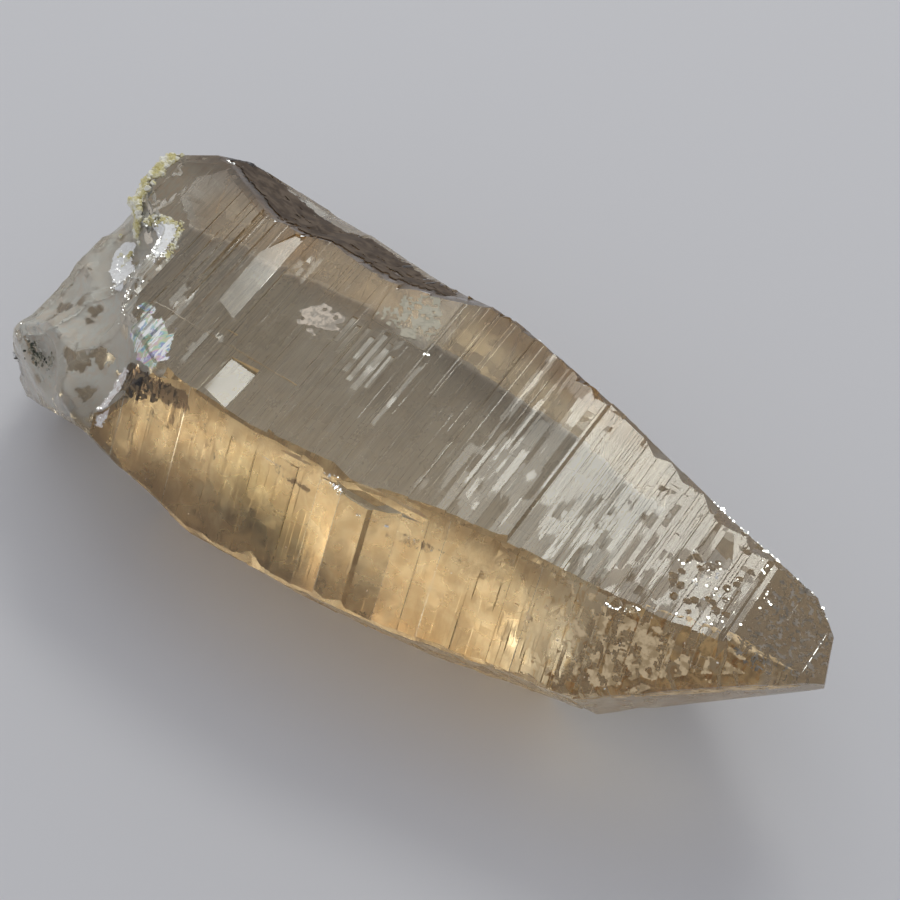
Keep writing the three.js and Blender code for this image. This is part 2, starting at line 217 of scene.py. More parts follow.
class Nodes:
    """Adds nodes to a material and links them, so that a pattern reads as one expression."""

    def __init__(self, material):
        self.tree = material.node_tree
        self.shader = self.tree.nodes["Principled BSDF"]
        self.output = self.tree.nodes["Material Output"]

    def add(self, kind, inputs=None, **settings):
        node = self.tree.nodes.new(kind)
        for name, value in settings.items():
            setattr(node, name, value)
        for name, value in (inputs or {}).items():
            self.put(node.inputs[name], value)
        return node

    def put(self, socket, value):
        if isinstance(value, bpy.types.NodeSocket):
            self.tree.links.new(value, socket)
        else:
            socket.default_value = value

    def place(self, scale=(1, 1, 1), shift=(0, 0, 0)):
        """Where a point is, in mm from the foot of the c-axis, then scaled and shifted."""
        where = self.add("ShaderNodeTexCoord").outputs["Object"]
        foot = here(0, 0, 0)
        in_mm = self.add("ShaderNodeMapping", {
            "Vector": where, "Location": [-c / MM for c in foot], "Scale": (1 / MM,) * 3,
        })
        return self.add("ShaderNodeMapping", {
            "Vector": in_mm.outputs[0], "Location": shift, "Scale": scale,
        }).outputs[0]

    def noise(self, vector, scale=1.0, detail=2.0, roughness=0.5, distortion=0.0):
        return self.add("ShaderNodeTexNoise", {
            "Vector": vector, "Scale": scale, "Detail": detail, "Roughness": roughness, "Distortion": distortion,
        }).outputs["Fac"]

    def ramp(self, value, low, high, to_low=0.0, to_high=1.0):
        return self.add("ShaderNodeMapRange", {
            "Value": value, "From Min": low, "From Max": high, "To Min": to_low, "To Max": to_high,
        }, interpolation_type="SMOOTHSTEP").outputs["Result"]

    def maths(self, operation, one, two=0.5):
        return self.add("ShaderNodeMath", {0: one, 1: two}, operation=operation).outputs[0]

    def mix(self, factor, one, two, blend="MIX"):
        node = self.add("ShaderNodeMix", data_type="RGBA", blend_type=blend)
        for index, value in ((0, factor), (6, one), (7, two)):
            self.put(node.inputs[index], value)
        return node.outputs[2]

    def along(self):
        """How far along the c-axis a point is, in mm from the foot."""
        return self.add("ShaderNodeSeparateXYZ", {"Vector": self.place()}).outputs["X"]

    def attribute(self, name):
        return self.add("ShaderNodeAttribute", attribute_name=name, attribute_type="GEOMETRY").outputs["Fac"]


def new_material(name):
    material = bpy.data.materials.new(name)
    material.use_nodes = True
    return material, Nodes(material)


def quartz_material():
    """Clear smoky quartz: see-through, its smoke in the body, the front faces painted gold where they take the light
    (partly the smoke's colour, partly a painted glow), with painted shade lines on the top face.
    """
    finish = bpy.context.scene.quartz_finish
    material, nodes = new_material("smoky_quartz_clear")
    shader = nodes.shader
    shader.inputs["Transmission Weight"].default_value = 1.0
    shader.inputs["IOR"].default_value = 1.544
    gold, amber, frost, stain, striation_shade = (nodes.attribute(name) for name in MARKS)
    blotch = nodes.ramp(nodes.noise(nodes.place((0.35, 0.5, 0.5)), 1.0, 4.0, 0.65, 1.2), 0.4, 0.6)
    mottle = nodes.ramp(nodes.noise(nodes.place((1.1, 0.55, 0.55), (3, 7, 1)), 1.0, 4.0, 0.6, 0.8), 0.38, 0.62)
    fleck = nodes.ramp(nodes.noise(nodes.place((2.6, 0.8, 0.8), (9, 2, 4)), 1.0, 3.0, 0.6, 0.5), 0.5, 0.62)
    # The front faces are painted gold: the smoke's own colour with a painted glow of the light that crosses the
    # crystal, mottled and streaked.
    front = nodes.mix(blotch, (*finish.gold, 1), (*finish.pale_gold, 1))
    front = nodes.mix(nodes.maths("MULTIPLY", mottle, 0.55), front, (*finish.deep_gold, 1))
    # Painted light: towards the tip the gold turns lighter and flecked, as a painted glow.
    glow_towards_tip = nodes.ramp(nodes.along(), 50, 58)
    tip_glow = nodes.mix(fleck, (*finish.glow_gold, 1), (*finish.gold, 1))
    front = nodes.mix(glow_towards_tip, front, tip_glow)
    # Painted shade: fine dark lines drawn along the top face for the striations that bend the light there.
    fine = nodes.ramp(nodes.noise(nodes.place((5.0, 0.14, 0.14)), 1.0, 2.0, 0.55), 0.36, 0.56)
    finer = nodes.ramp(nodes.noise(nodes.place((11.0, 0.3, 0.3), (5, 1, 3)), 1.0, 2.0, 0.5), 0.36, 0.5)
    lines = nodes.maths("MULTIPLY", nodes.ramp(fine, 0, 1, 0.55, 1.0), nodes.ramp(finer, 0, 1, 0.7, 1.0))
    clear = nodes.mix(blotch, (0.97, 0.93, 0.83, 1), (1.0, 0.98, 0.9, 1))
    drawn = nodes.mix(1.0, clear, lines, "MULTIPLY")
    clear = nodes.mix(striation_shade, clear, drawn)
    colour = nodes.mix(amber, clear, (*finish.amber, 1))
    colour = nodes.mix(gold, colour, front)
    tint = nodes.add("ShaderNodeAttribute", attribute_name="tint", attribute_type="GEOMETRY").outputs["Color"]
    colour = nodes.mix(1.0, colour, tint, "MULTIPLY")
    ragged = nodes.noise(nodes.place((1.6, 0.9, 0.9), (1, 5, 8)), 1.0, 4.0, 0.65, 0.6)
    stained = nodes.ramp(nodes.maths("ADD", stain, ragged), 0.95, 1.1)
    colour = nodes.mix(stained, colour, (*finish.stain, 1))
    nodes.put(shader.inputs["Base Color"], colour)
    uneven = nodes.ramp(nodes.noise(nodes.place((0.5, 0.5, 0.5), (4, 4, 4)), 1.0, 3.0), 0.35, 0.65, 0.5, 1.2)
    rough = nodes.maths("MULTIPLY", nodes.maths("MULTIPLY", frost, uneven), 0.3)
    nodes.put(shader.inputs["Roughness"], nodes.maths("ADD", rough, 0.03))
    body = nodes.add("ShaderNodeVolumeAbsorption")
    body.inputs["Color"].default_value = (*finish.smoke, 1)
    body.inputs["Density"].default_value = finish.density
    nodes.put(nodes.output.inputs["Volume"], body.outputs["Volume"])
    return material


def mineral_material(name, one, other, roughness, size_mm=0.6, metallic=0.0, shine=0.5):
    """A bright mineral surface that varies between two colours over patches of the given size."""
    material, nodes = new_material(name)
    patch = nodes.ramp(nodes.noise(nodes.place((1 / size_mm,) * 3), 1.0, 4.0, 0.6, 0.4), 0.4, 0.6)
    nodes.put(nodes.shader.inputs["Base Color"], nodes.mix(patch, (*one, 1), (*other, 1)))
    nodes.put(nodes.shader.inputs["Roughness"], nodes.ramp(patch, 0, 1, roughness * 0.7, roughness * 1.3))
    nodes.shader.inputs["Metallic"].default_value = metallic
    nodes.shader.inputs["IOR"].default_value = 1.55
    nodes.shader.inputs["Specular IOR Level"].default_value = shine
    return material


def rainbow_material():
    """A thin crack under the surface: pearly white, with the colours that light takes in a narrow gap."""
    material, nodes = new_material("rainbow_fracture")
    order = nodes.noise(nodes.place((0.42, 0.42, 0.42), (2, 3, 1)), 1.0, 3.0, 0.55, 1.4)
    ramp = nodes.add("ShaderNodeValToRGB")
    colours = (
        (0.3, (0.62, 0.6, 0.66)), (0.4, (0.30, 0.34, 0.62)), (0.45, (0.36, 0.62, 0.56)), (0.49, (0.62, 0.66, 0.4)),
        (0.53, (0.72, 0.58, 0.5)), (0.57, (0.7, 0.44, 0.62)), (0.62, (0.42, 0.42, 0.7)), (0.7, (0.78, 0.78, 0.78)),
    )
    stops = ramp.color_ramp.elements
    while len(stops) < len(colours):
        stops.new(0.5)
    for stop, (place, colour) in zip(stops, colours):
        stop.position = place
        stop.color = (*colour, 1)
    nodes.put(ramp.inputs["Fac"], order)
    white = nodes.ramp(nodes.noise(nodes.place((3.4, 0.7, 0.7)), 1.0, 3.0, 0.6, 0.3), 0.47, 0.56)
    colour = nodes.mix(white, ramp.outputs["Color"], (0.93, 0.92, 0.92, 1))
    nodes.put(nodes.shader.inputs["Base Color"], colour)
    nodes.put(nodes.shader.inputs["Roughness"], nodes.ramp(white, 0, 1, 0.12, 0.35))
    nodes.shader.inputs["IOR"].default_value = 1.6
    return material


def floor_material():
    material, nodes = new_material("pale_floor")
    nodes.shader.inputs["Base Color"].default_value = (*bpy.context.scene.quartz_stage.floor_colour, 1)
    nodes.shader.inputs["Roughness"].default_value = 0.75
    return material


# ---- The crystal's fine surface -------------------------------------------------------------------------

BODY_START_MM = 9.0 # where growth ledges begin, past the broken base
TIP_MM = 71.2
LEDGE_SHORTEST_MM = 0.16
LEDGE_SPREAD_MM = 0.46
BREAK_END_MM = 19.5 # the broken base reaches this far along the axis
SEGMENT_CUTS = 14 # the prism is cut in segments of this many cuts, because a short mesh cuts faster
ON_PLANE = 1e-8 # how near a cutting plane, in metres, a point counts as on it

# Where each prism face begins past the broken base, in mm along the axis.
FACE_STARTS_MM = {
    "top": 6.5, "front_upper": 14.6, "front_lower": 5, "bottom": 1, "back_lower": 4, "back_upper": 6,
    "back_slope": 7,
}
ALIKE = 0.955 # how nearly a polygon must look along a face's direction to belong to it
SUNK_MM = 0.75 # how far below its prism face a polygon may lie and still belong to it
BIN_MM = 1.0

# What the mesh keeps for the material: how much of each a polygon has.
MARKS = ("gold", "amber", "frost", "stain", "striation_shade")


def growth_stations(chance, riser):
    """Where growth ledges can begin along the axis, in mm, each with the far side of its riser."""
    places = []
    x = BODY_START_MM
    while x < TIP_MM:
        x += LEDGE_SHORTEST_MM + LEDGE_SPREAD_MM * chance.random() ** 2
        places.append((x, x + riser))
        x += riser
    return places


BROKEN, WORN = -1, -2 # what a polygon belongs to where it belongs to no prism face
BREAK_SMOOTHINGS = 8
BREAK_SMOOTH_DEG = 35

# How dull each face is, and the break and the worn edges.
FROST = {
    "bottom": 0.95, "front_lower": 0.9, "back_lower": 0.9, "back_upper": 0.6, "back_slope": 0.9,
    "front_upper": 0.95, "top": 0.0,
}
FROST_OF_BREAK = 0.85
FROST_OF_WEAR = 0.7

# How strongly each face is striated: places along the axis in mm, with the usual height of a ledge there in
# mm and how far it tilts. A face's ledges also have a usual half-length across it, in mm.
LEDGES = {
    "top": {
        "count": 420, "reach": (1.0, 8.0), "at": [9, 13, 19, 23, 28, 46, 48.4, 49, 60, 66, 67, 71],
        "height": [0.003, 0.014, 0.014, 0.006, 0.003, 0.003, 0.004, 0.005, 0.008, 0.004, 0.001, 0.001],
        "tilt": [0.005, 0.07, 0.05, 0.02, 0.02, 0.02, 0.03, 0.02, 0.05, 0.03, 0.002, 0.002],
    },
    "front_upper": {
        "count": 520, "reach": (0.3, 2.6), "at": [14, 24, 34, 35, 42, 43, 46, 52, 68, 71],
        "height": [0.006, 0.004, 0.004, 0.001, 0.001, 0.004, 0.005, 0.009, 0.009, 0.002],
        "tilt": [0.05, 0.03, 0.03, 0.003, 0.003, 0.03, 0.04, 0.10, 0.10, 0.02],
    },
    "front_lower": {
        "count": 260, "reach": (0.5, 3.0), "at": [9, 40, 48, 58, 64, 71],
        "height": [0.01, 0.01, 0.012, 0.01, 0.001, 0.001], "tilt": [0.04, 0.04, 0.07, 0.05, 0.0, 0.0],
    },
    "bottom": {
        "count": 260, "reach": (0.5, 3.5), "at": [9, 40, 46, 50, 52, 71],
        "height": [0.006, 0.006, 0.01, 0.01, 0.0, 0.0], "tilt": [0.015, 0.02, 0.05, 0.05, 0.0, 0.0],
    },
    "back_lower": {
        "count": 220, "reach": (0.5, 3.0), "at": [9, 40, 48, 58, 64, 71],
        "height": [0.003, 0.003, 0.006, 0.006, 0.0, 0.0], "tilt": [0.006, 0.006, 0.02, 0.02, 0.0, 0.0],
    },
    "back_upper": {
        "count": 220, "reach": (0.8, 4.0), "at": [9, 40, 66, 71],
        "height": [0.002, 0.002, 0.004, 0.0], "tilt": [0.003, 0.003, 0.01, 0.0],
    },
    "back_slope": {
        "count": 320, "reach": (0.4, 1.6), "at": [9, 71], "height": [0.035, 0.035], "tilt": [0.2, 0.2],
    },
}
LEDGE_ACROSS_MM = 10.0 # ledges are centred within this distance of a face's middle line
LEDGE_LONGEST = 6 # stations that one ledge spans at most
LEDGE_FADE_MM = 0.5 # how softly a ledge ends across the face

# Parts of the top face that stayed smooth: their outlines seen from above, in mm.
SMOOTH_PLACES = (
    ((18.6, -1.9), (20.9, -1.9), (20.9, 8.5), (18.4, 8.5)),
    ((22.7, -9.4), (25.6, -9.4), (25.6, -4.7), (22.7, -4.7)),
    ((29.4, 3.0), (34.8, 3.0), (34.8, 10.4), (28.5, 10.4)),
    ((6.0, 3.0), (13.4, 3.0), (13.4, 13.0), (6.0, 13.0)),
    ((66.2, -8.0), (72.0, -8.0), (72.0, 3.0), (66.2, 3.0)),
)

GOLD_ALONG_MM = (13.0, 68.5) # the front faces are painted gold between these places: the smoke's colour with a painted glow
AMBER_ALONG = ((8, 13, 42, 50, 60), (0.4, 1, 1, 0.2, 0.0)) # how strong the amber is along the axis, in mm
AMBER_UP = ((8, 12, 17), (0.15, 0.4, 1.0)) # and by height over the table, in mm
# How strong the painted striation shade of the top face is along the axis, in mm.
STRIATION_SHADE_ALONG = ((9, 13, 19, 24, 44, 49, 65, 67), (0.2, 0.8, 0.8, 0.35, 0.35, 0.75, 0.7, 0.1))

# Soft tints that darken the surface colour: along a line from one point to another in mm, this far round it, and the
# colour it is multiplied by.
TINTS = (
    ((8.5, 13.2, 18.0), (33.0, 10.4, 17.0), 2.5, (0.26, 0.19, 0.14)),
    ((14.0, -12.6, 11.0), (19.0, -13.4, 10.0), 3.0, (0.52, 0.50, 0.48)),
    ((15.0, 7.0, 19.5), (19.0, 7.6, 19.5), 2.2, (0.80, 0.62, 0.42)),
    ((22.0, 7.4, 19.5), (29.0, 6.6, 19.5), 2.4, (0.78, 0.60, 0.40)),
    ((37.0, 6.6, 19.2), (44.0, 3.6, 19.0), 2.6, (0.50, 0.45, 0.38)),
    ((38.0, 9.4, 18.6), (47.0, 7.4, 18.4), 1.6, (0.58, 0.44, 0.30)),
    ((46.0, 7.4, 18.9), (51.0, 6.0, 18.7), 1.8, (0.70, 0.56, 0.42)),
    ((35.0, 1.5, 19.4), (39.0, 5.5, 19.4), 3.0, (0.72, 0.68, 0.62)),
    ((22.0, 0.5, 19.5), (23.5, -3.0, 19.5), 2.2, (0.80, 0.76, 0.66)),
    ((29.0, -9.5, 14.0), (33.0, -10.5, 12.0), 2.6, (0.62, 0.62, 0.50)),
)

# Dull places on the top face, in the same way.
FROSTED = (
    ((28.0, -3.5, 19.5), (31.5, 0.5, 19.5), 2.0, 0.62),
    ((19.6, -0.5, 19.5), (19.6, 7.5, 19.5), 1.0, 0.34),
    ((26.0, 1.5, 19.5), (27.2, 1.5, 19.5), 1.2, 1.1),
    ((31.0, 6.0, 19.4), (33.2, 5.6, 19.4), 1.5, 0.7),
)

# Ragged dark brown marks, in the same way.
STAINS = (
    ((15.2, -8.8, 17.4), (21.5, -9.6, 18.2), 0.55, 0.9),
    ((17.0, -10.4, 16.6), (25.0, -10.6, 17.0), 1.2, 0.42),
    ((30.6, -10.3, 17.3), (33.6, -10.5, 17.0), 0.5, 0.62),
    ((12.0, 12.2, 18.4), (20.0, 9.6, 18.8), 1.4, 0.42),
    ((20.0, 9.0, 19.2), (28.6, 9.4, 18.6), 0.7, 0.5),
    ((40.0, -10.9, 16.6), (46.0, -10.3, 16.9), 0.35, 0.5),
    ((33.0, -14.2, 9.0), (47.0, -13.6, 8.6), 1.4, 0.42),
)


def face_levels(name, along, across, stations, chance):
    """How far out each point of a prism face stands, in mm, by the growth ledges that cover it."""
    recipe = LEDGES[name]
    levels = np.zeros(len(along))
    order = np.argsort(along)
    sorted_along = along[order]
    for _ in range(recipe["count"]):
        first = chance.randrange(len(stations) - 1)
        last = min(first + chance.randint(1, LEDGE_LONGEST), len(stations) - 1)
        start, end = stations[first], stations[last]
        height = np.interp(start[0], recipe["at"], recipe["height"]) * chance.gauss(0, 1)
        tilt = np.interp(start[0], recipe["at"], recipe["tilt"]) * chance.gauss(0, 1)
        centre = chance.uniform(-LEDGE_ACROSS_MM, LEDGE_ACROSS_MM)
        reach = chance.uniform(*recipe["reach"])
        low, high = np.searchsorted(sorted_along, (start[0], end[1]))
        near = order[low:high]
        rise = np.interp(along[near], (start[0], start[1], end[0], end[1]), (0, 1, 1, 0))
        fade = np.clip((reach - np.abs(across[near] - centre)) / LEDGE_FADE_MM, 0, 1)
        lean = np.clip(along[near], start[1], end[0]) - (start[1] + end[0]) / 2
        levels[near] += rise * fade * (height + tilt * lean)
    return levels * np.clip((along - BODY_START_MM) / 2, 0, 1)


def inside(outline, x, y):
    """Which points lie inside an outline."""
    within = np.zeros(len(x), bool)
    for (x0, y0), (x1, y1) in zip(outline, (*outline[1:], outline[0])):
        crosses = (y0 > y) != (y1 > y)
        if y0 != y1:
            within ^= crosses & (x < (x1 - x0) * (y - y0) / (y1 - y0) + x0)
    return within


def nearness(points, start, end, radius):
    """How near points in mm lie to a line, from 1 on it to 0 at twice the radius."""
    start, end = np.array(start), np.array(end)
    line = end - start
    share = np.clip((points - start) @ line / (line @ line), 0, 1)
    away = np.linalg.norm(points - start - share[:, None] * line, axis=1)
    return np.clip(2 - away / radius, 0, 1) ** 2 * (3 - 2 * np.clip(2 - away / radius, 0, 1))


def slice_faces(bm, faces, points_mm, axis):
    """Cuts some faces by planes square to one axis, in order, and returns the pieces."""
    normal = Vector([float(k == axis) for k in range(3)])
    ahead, done = list(faces), []
    for place in points_mm:
        at = here(place, place, place)[axis]
        crossed, rest = [], []
        for face in ahead:
            sides = [vert.co[axis] for vert in face.verts]
            if max(sides) <= at + ON_PLANE:
                done.append(face)
            elif min(sides) < at - ON_PLANE:
                crossed.append(face)
            else:
                rest.append(face)
        ahead = rest
        if crossed:
            around = {edge for face in crossed for edge in face.edges}
            corners = {vert for face in crossed for vert in face.verts}
            result = bmesh.ops.bisect_plane(
                bm, geom=[*crossed, *around, *corners], dist=ON_PLANE,
                plane_co=normal * at, plane_no=normal,
            )
            for part in result["geom"]:
                if isinstance(part, bmesh.types.BMFace):
                    beyond = part.calc_center_median()[axis] > at
                    (ahead if beyond else done).append(part)
    return ahead + done


def cut_at(bm, x, spared=None, **cleared):
    """Cuts a mesh by the plane square to the c-axis at a place along it, in mm, but for its spared faces."""
    geometry = [*bm.verts, *bm.edges, *bm.faces]
    if spared:
        faces = [face for face in bm.faces if not face[spared]]
        around = {edge for face in faces for edge in face.edges}
        geometry = [*faces, *around, *{vert for edge in around for vert in edge.verts}]
    bmesh.ops.bisect_plane(
        bm, geom=geometry, dist=ON_PLANE, plane_co=here(x, 0, 0), plane_no=(1, 0, 0), **cleared,
    )


class QUARTZ_OT_crystal(bpy.types.Operator):
    """Shape the crystal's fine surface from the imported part"""

    bl_idname = "quartz.crystal"
    bl_label = "Crystal"

    def execute(self, context):
        settings = context.scene.quartz_crystal
        chance = random.Random(settings.seed)
        node = frame["nodes"][NODE]
        crystal = bpy.data.objects.new("crystal", node.data.copy())
        context.scene.collection.objects.link(crystal)
        only(crystal)
        bpy.ops.mesh.customdata_custom_splitnormals_clear()
        edit(crystal)
        bpy.ops.mesh.select_all(action="SELECT")
        bpy.ops.mesh.remove_doubles(threshold=0.0001 * MM)
        bpy.ops.mesh.dissolve_limited(angle_limit=math.radians(0.3))
        foot = here(0, 0, AXIS_HEIGHT_MM)
        for i in range(settings.cuts_round):
            turn = math.pi * (i + 0.5) / settings.cuts_round
            bpy.ops.mesh.select_all(action="SELECT")
            bpy.ops.mesh.bisect(
                plane_co=foot, plane_no=(0, math.cos(turn), math.sin(turn)), threshold=ON_PLANE,
            )
        leave_edit()
        stations = growth_stations(chance, settings.riser / MM)
        self.divide(crystal.data, stations, settings.break_grain / MM)
        owners = self.owners(crystal.data)
        self.weather_break(crystal.data, owners, settings.break_ripple)
        self.mark(crystal.data, owners)
        self.raise_ledges(crystal.data, owners, stations, chance)
        edit(crystal)
        bpy.ops.mesh.select_all(action="SELECT")
        bpy.ops.mesh.quads_convert_to_tris(quad_method="SHORTEST_DIAGONAL", ngon_method="BEAUTY")
        leave_edit()
        only(crystal)
        bpy.ops.object.shade_smooth_by_angle(angle=math.radians(settings.smooth_within))
        self.soften_break(crystal.data)
        finish_piece(crystal, quartz_material())
        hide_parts(NODE)
        return {"FINISHED"}

    def divide(self, mesh, stations, grain):
        """Cuts the broken base into a fine grid, and the prism at every growth station."""
        bm = bmesh.new()
        bm.from_mesh(mesh)
        bm.faces.ensure_lookup_table()
        kept = bm.faces.layers.int.new("broken")
        broken = [bm.faces[i] for i in np.nonzero(self.owners(mesh) == BROKEN)[0]]
        for face in broken:
            face[kept] = 1
        for axis, start, end in ((0, -1, BREAK_END_MM), (1, -18, 20), (2, 0, 20)):
            broken = slice_faces(bm, broken, np.arange(start, end, grain).tolist(), axis)
        bm.to_mesh(mesh)
        bm.free()
        cuts = [x for pair in stations for x in pair]
        ends = [None, *cuts[::SEGMENT_CUTS], None]
        whole = bmesh.new()
        for start, end in zip(ends, ends[1:]):
            segment = bmesh.new()
            segment.from_mesh(mesh)
            for x, cleared in ((start, "clear_inner"), (end, "clear_outer")):
                if x is not None:
                    cut_at(segment, x, **{cleared: True})
            spared = segment.faces.layers.int["broken"] if (start or 0) < BREAK_END_MM else None
            for x in cuts:
                if (start is None or x > start) and (end is None or x < end):
                    cut_at(segment, x, spared)
            part = bpy.data.meshes.new("segment")
            segment.to_mesh(part)
            segment.free()
            whole.from_mesh(part)
            bpy.data.meshes.remove(part)
        bmesh.ops.remove_doubles(whole, verts=whole.verts[:], dist=2 * ON_PLANE)
        whole.to_mesh(mesh)
        whole.free()

    def owners(self, mesh):
        """Which prism face each polygon belongs to, by number, or BROKEN or WORN where it belongs to none."""
        count = len(mesh.polygons)
        normals, centres = np.empty(count * 3, np.float32), np.empty(count * 3, np.float32)
        mesh.polygons.foreach_get("normal", normals)
        mesh.polygons.foreach_get("center", centres)
        directions = np.array([facing(azimuth) for azimuth in FACE_AZIMUTHS.values()])
        likeness = normals.reshape(-1, 3) @ directions.T
        in_mm = centres.reshape(-1, 3) / MM - np.array([*AXIS_FOOT_MM, AXIS_HEIGHT_MM])
        along = in_mm[:, 0]
        bins = np.clip(along / BIN_MM, 0, TIP_MM + 5).astype(int)
        best = likeness.argmax(1)
        owner = np.where(along < BREAK_END_MM, BROKEN, WORN)
        for k, name in enumerate(FACE_AZIMUTHS):
            mine = (best == k) & (likeness[:, k] > ALIKE) & (along > FACE_STARTS_MM[name])
            stand = in_mm @ directions[k]
            surface = np.full(bins.max() + 1, -np.inf)
            np.maximum.at(surface, bins[mine], stand[mine])
            owner[mine & (stand > surface[bins] - SUNK_MM)] = k
        return owner

    def weather_break(self, mesh, owners, ripple):
        """Rounds the facets of the broken base and ripples it as a glassy break is."""
        broken = np.zeros(len(mesh.vertices), bool)
        held = np.zeros(len(mesh.vertices), bool)
        for polygon, owner in zip(mesh.polygons, owners):
            (broken if owner == BROKEN else held)[list(polygon.vertices)] = True
        free = np.nonzero(broken & ~held)[0]
        points = points_of(mesh)
        edges = np.empty(len(mesh.edges) * 2, np.int32)
        mesh.edges.foreach_get("vertices", edges)
        edges = edges.reshape(-1, 2)
        for _ in range(BREAK_SMOOTHINGS):
            total, number = np.zeros_like(points), np.zeros(len(points))
            for one, other in ((0, 1), (1, 0)):
                np.add.at(total, edges[:, one], points[edges[:, other]])
                np.add.at(number, edges[:, one], 1)
            points[free] += (total[free] / number[free, None] - points[free]) * 0.5
        set_points(mesh, points)
        normals = np.empty(len(points) * 3, np.float32)
        mesh.vertex_normals.foreach_get("vector", normals)
        normals = normals.reshape(-1, 3)
        for v in free:
            at = Vector(points[v]) / MM
            wave = noise.noise(at * 0.45) + 0.45 * noise.noise(at * 1.5) + 0.2 * noise.noise(at * 4)
            points[v] += normals[v] * ripple * wave
        points[:, 2] = np.maximum(points[:, 2], 0)
        set_points(mesh, points)

    def mark(self, mesh, owners):
        """Keeps in the mesh how much gold, amber, frost, stain and striation shade each place has, and its tint: the
        gold is the smoke's colour with a painted glow, and the striation shade is painted.
        """
        count = len(mesh.polygons)
        normals, centres = np.empty(count * 3, np.float32), np.empty(count * 3, np.float32)
        mesh.polygons.foreach_get("normal", normals)
        mesh.polygons.foreach_get("center", centres)
        normals = normals.reshape(-1, 3)
        in_mm = centres.reshape(-1, 3) / MM - np.array([*AXIS_FOOT_MM, 0])
        along, height = in_mm[:, 0], in_mm[:, 2]
        number = {name: k for k, name in enumerate(FACE_AZIMUTHS)}
        to_front = (normals[:, 1] < -0.3) & (np.abs(normals[:, 2]) < 0.9) & (normals[:, 0] > -0.4)
        at_back = (owners == number["back_upper"]) | (owners == number["back_lower"])
        frost = np.where(owners == BROKEN, FROST_OF_BREAK, FROST_OF_WEAR * (normals[:, 2] < 0.85))
        for name, amount in FROST.items():
            frost[owners == number[name]] = amount
        for start, end, radius, amount in FROSTED:
            there = (owners == number["top"]) & (nearness(in_mm, start, end, radius) > 0)
            frost[there] = np.maximum(frost[there], nearness(in_mm[there], start, end, radius) * amount)
        marks = {
            # gold: the front faces, painted gold, the smoke's colour with a painted glow
            "gold": (owners != BROKEN) & to_front & (along > GOLD_ALONG_MM[0]) & (along < GOLD_ALONG_MM[1]),
            "amber": at_back * np.interp(along, *AMBER_ALONG) * np.interp(height, *AMBER_UP),
            "striation_shade": (owners == number["top"]) * np.interp(along, *STRIATION_SHADE_ALONG),
            "frost": frost,
        }
        for name, values in marks.items():
            mesh.attributes.new(name, "FLOAT", "FACE").data.foreach_set("value", values.astype(np.float32))
        points = points_of(mesh) / MM - np.array([*AXIS_FOOT_MM, 0])
        tint = np.ones((len(points), 4), np.float32)
        for start, end, radius, colour in TINTS:
            share = nearness(points, start, end, radius)[:, None]
            tint[:, :3] *= 1 - share + share * np.array(colour)
        mesh.attributes.new("tint", "FLOAT_COLOR", "POINT").data.foreach_set("color", tint.ravel())
        stain = np.zeros(len(points), np.float32)
        for start, end, radius, strength in STAINS:
            stain = np.maximum(stain, nearness(points, start, end, radius) * strength)
        mesh.attributes.new("stain", "FLOAT", "POINT").data.foreach_set("value", stain)

    def raise_ledges(self, mesh, owners, stations, chance):
        """Moves every vertex along the prism faces that meet there, by the faces' own growth ledges."""
        points = points_of(mesh)
        in_mm = points / MM - np.array([*AXIS_FOOT_MM, AXIS_HEIGHT_MM])
        smooth = np.zeros(len(points), bool)
        for outline in SMOOTH_PLACES:
            smooth |= inside(outline, in_mm[:, 0], in_mm[:, 1])
        meeting = np.zeros(len(points), int)
        for polygon, owner in zip(mesh.polygons, owners):
            if owner >= 0:
                meeting[list(polygon.vertices)] |= 1 << owner
        directions = np.array([facing(azimuth) for azimuth in FACE_AZIMUTHS.values()])
        levels = np.zeros((len(points), len(directions)))
        for k, name in enumerate(FACE_AZIMUTHS):
            mine = np.nonzero(meeting & (1 << k))[0]
            across = in_mm[mine] @ np.cross((1, 0, 0), directions[k])
            levels[mine, k] = face_levels(name, in_mm[mine, 0], across, stations, chance)
            if name == "top":
                levels[smooth, k] = 0
            if name == "bottom":
                levels[mine, k] = -np.abs(levels[mine, k])
        for mask in np.unique(meeting):
            faces = [k for k in range(len(directions)) if mask & (1 << k)][:3]
            if faces:
                chosen = np.nonzero(meeting == mask)[0]
                solve = np.linalg.pinv(directions[faces], rcond=0.05)
                points[chosen] += levels[np.ix_(chosen, faces)] @ solve.T * MM
        points[:, 2] = np.maximum(points[:, 2], 0)
        set_points(mesh, points)

    def soften_break(self, mesh):
        """Lets the broken base look round where its facets turn gently."""
        frost = np.empty(len(mesh.polygons), np.float32)
        mesh.attributes["frost"].data.foreach_get("value", frost)
        bm = bmesh.new()
        bm.from_mesh(mesh)
        limit = math.radians(BREAK_SMOOTH_DEG)
        for edge in bm.edges:
            faces = edge.link_faces
            if len(faces) == 2 and all(frost[face.index] == np.float32(FROST_OF_BREAK) for face in faces):
                edge.smooth = faces[0].normal.angle(faces[1].normal, 0) < limit
        bm.to_mesh(mesh)
        bm.free()


# ---- Small crystals and grains --------------------------------------------------------------------------


def surface_of(name):
    """A tree that finds the nearest place on a piece's surface."""
    mesh = bpy.data.objects[name].data
    return BVHTree.FromPolygons([v.co for v in mesh.vertices], [p.vertices for p in mesh.polygons])


def on_surface(tree, place_mm, lift_mm=0.0):
    """The point of the surface nearest to a place in mm, in metres, lifted off it, with its normal."""
    at, normal, _, _ = tree.find_nearest(here(*place_mm))
    return at + normal * lift_mm * MM, normal


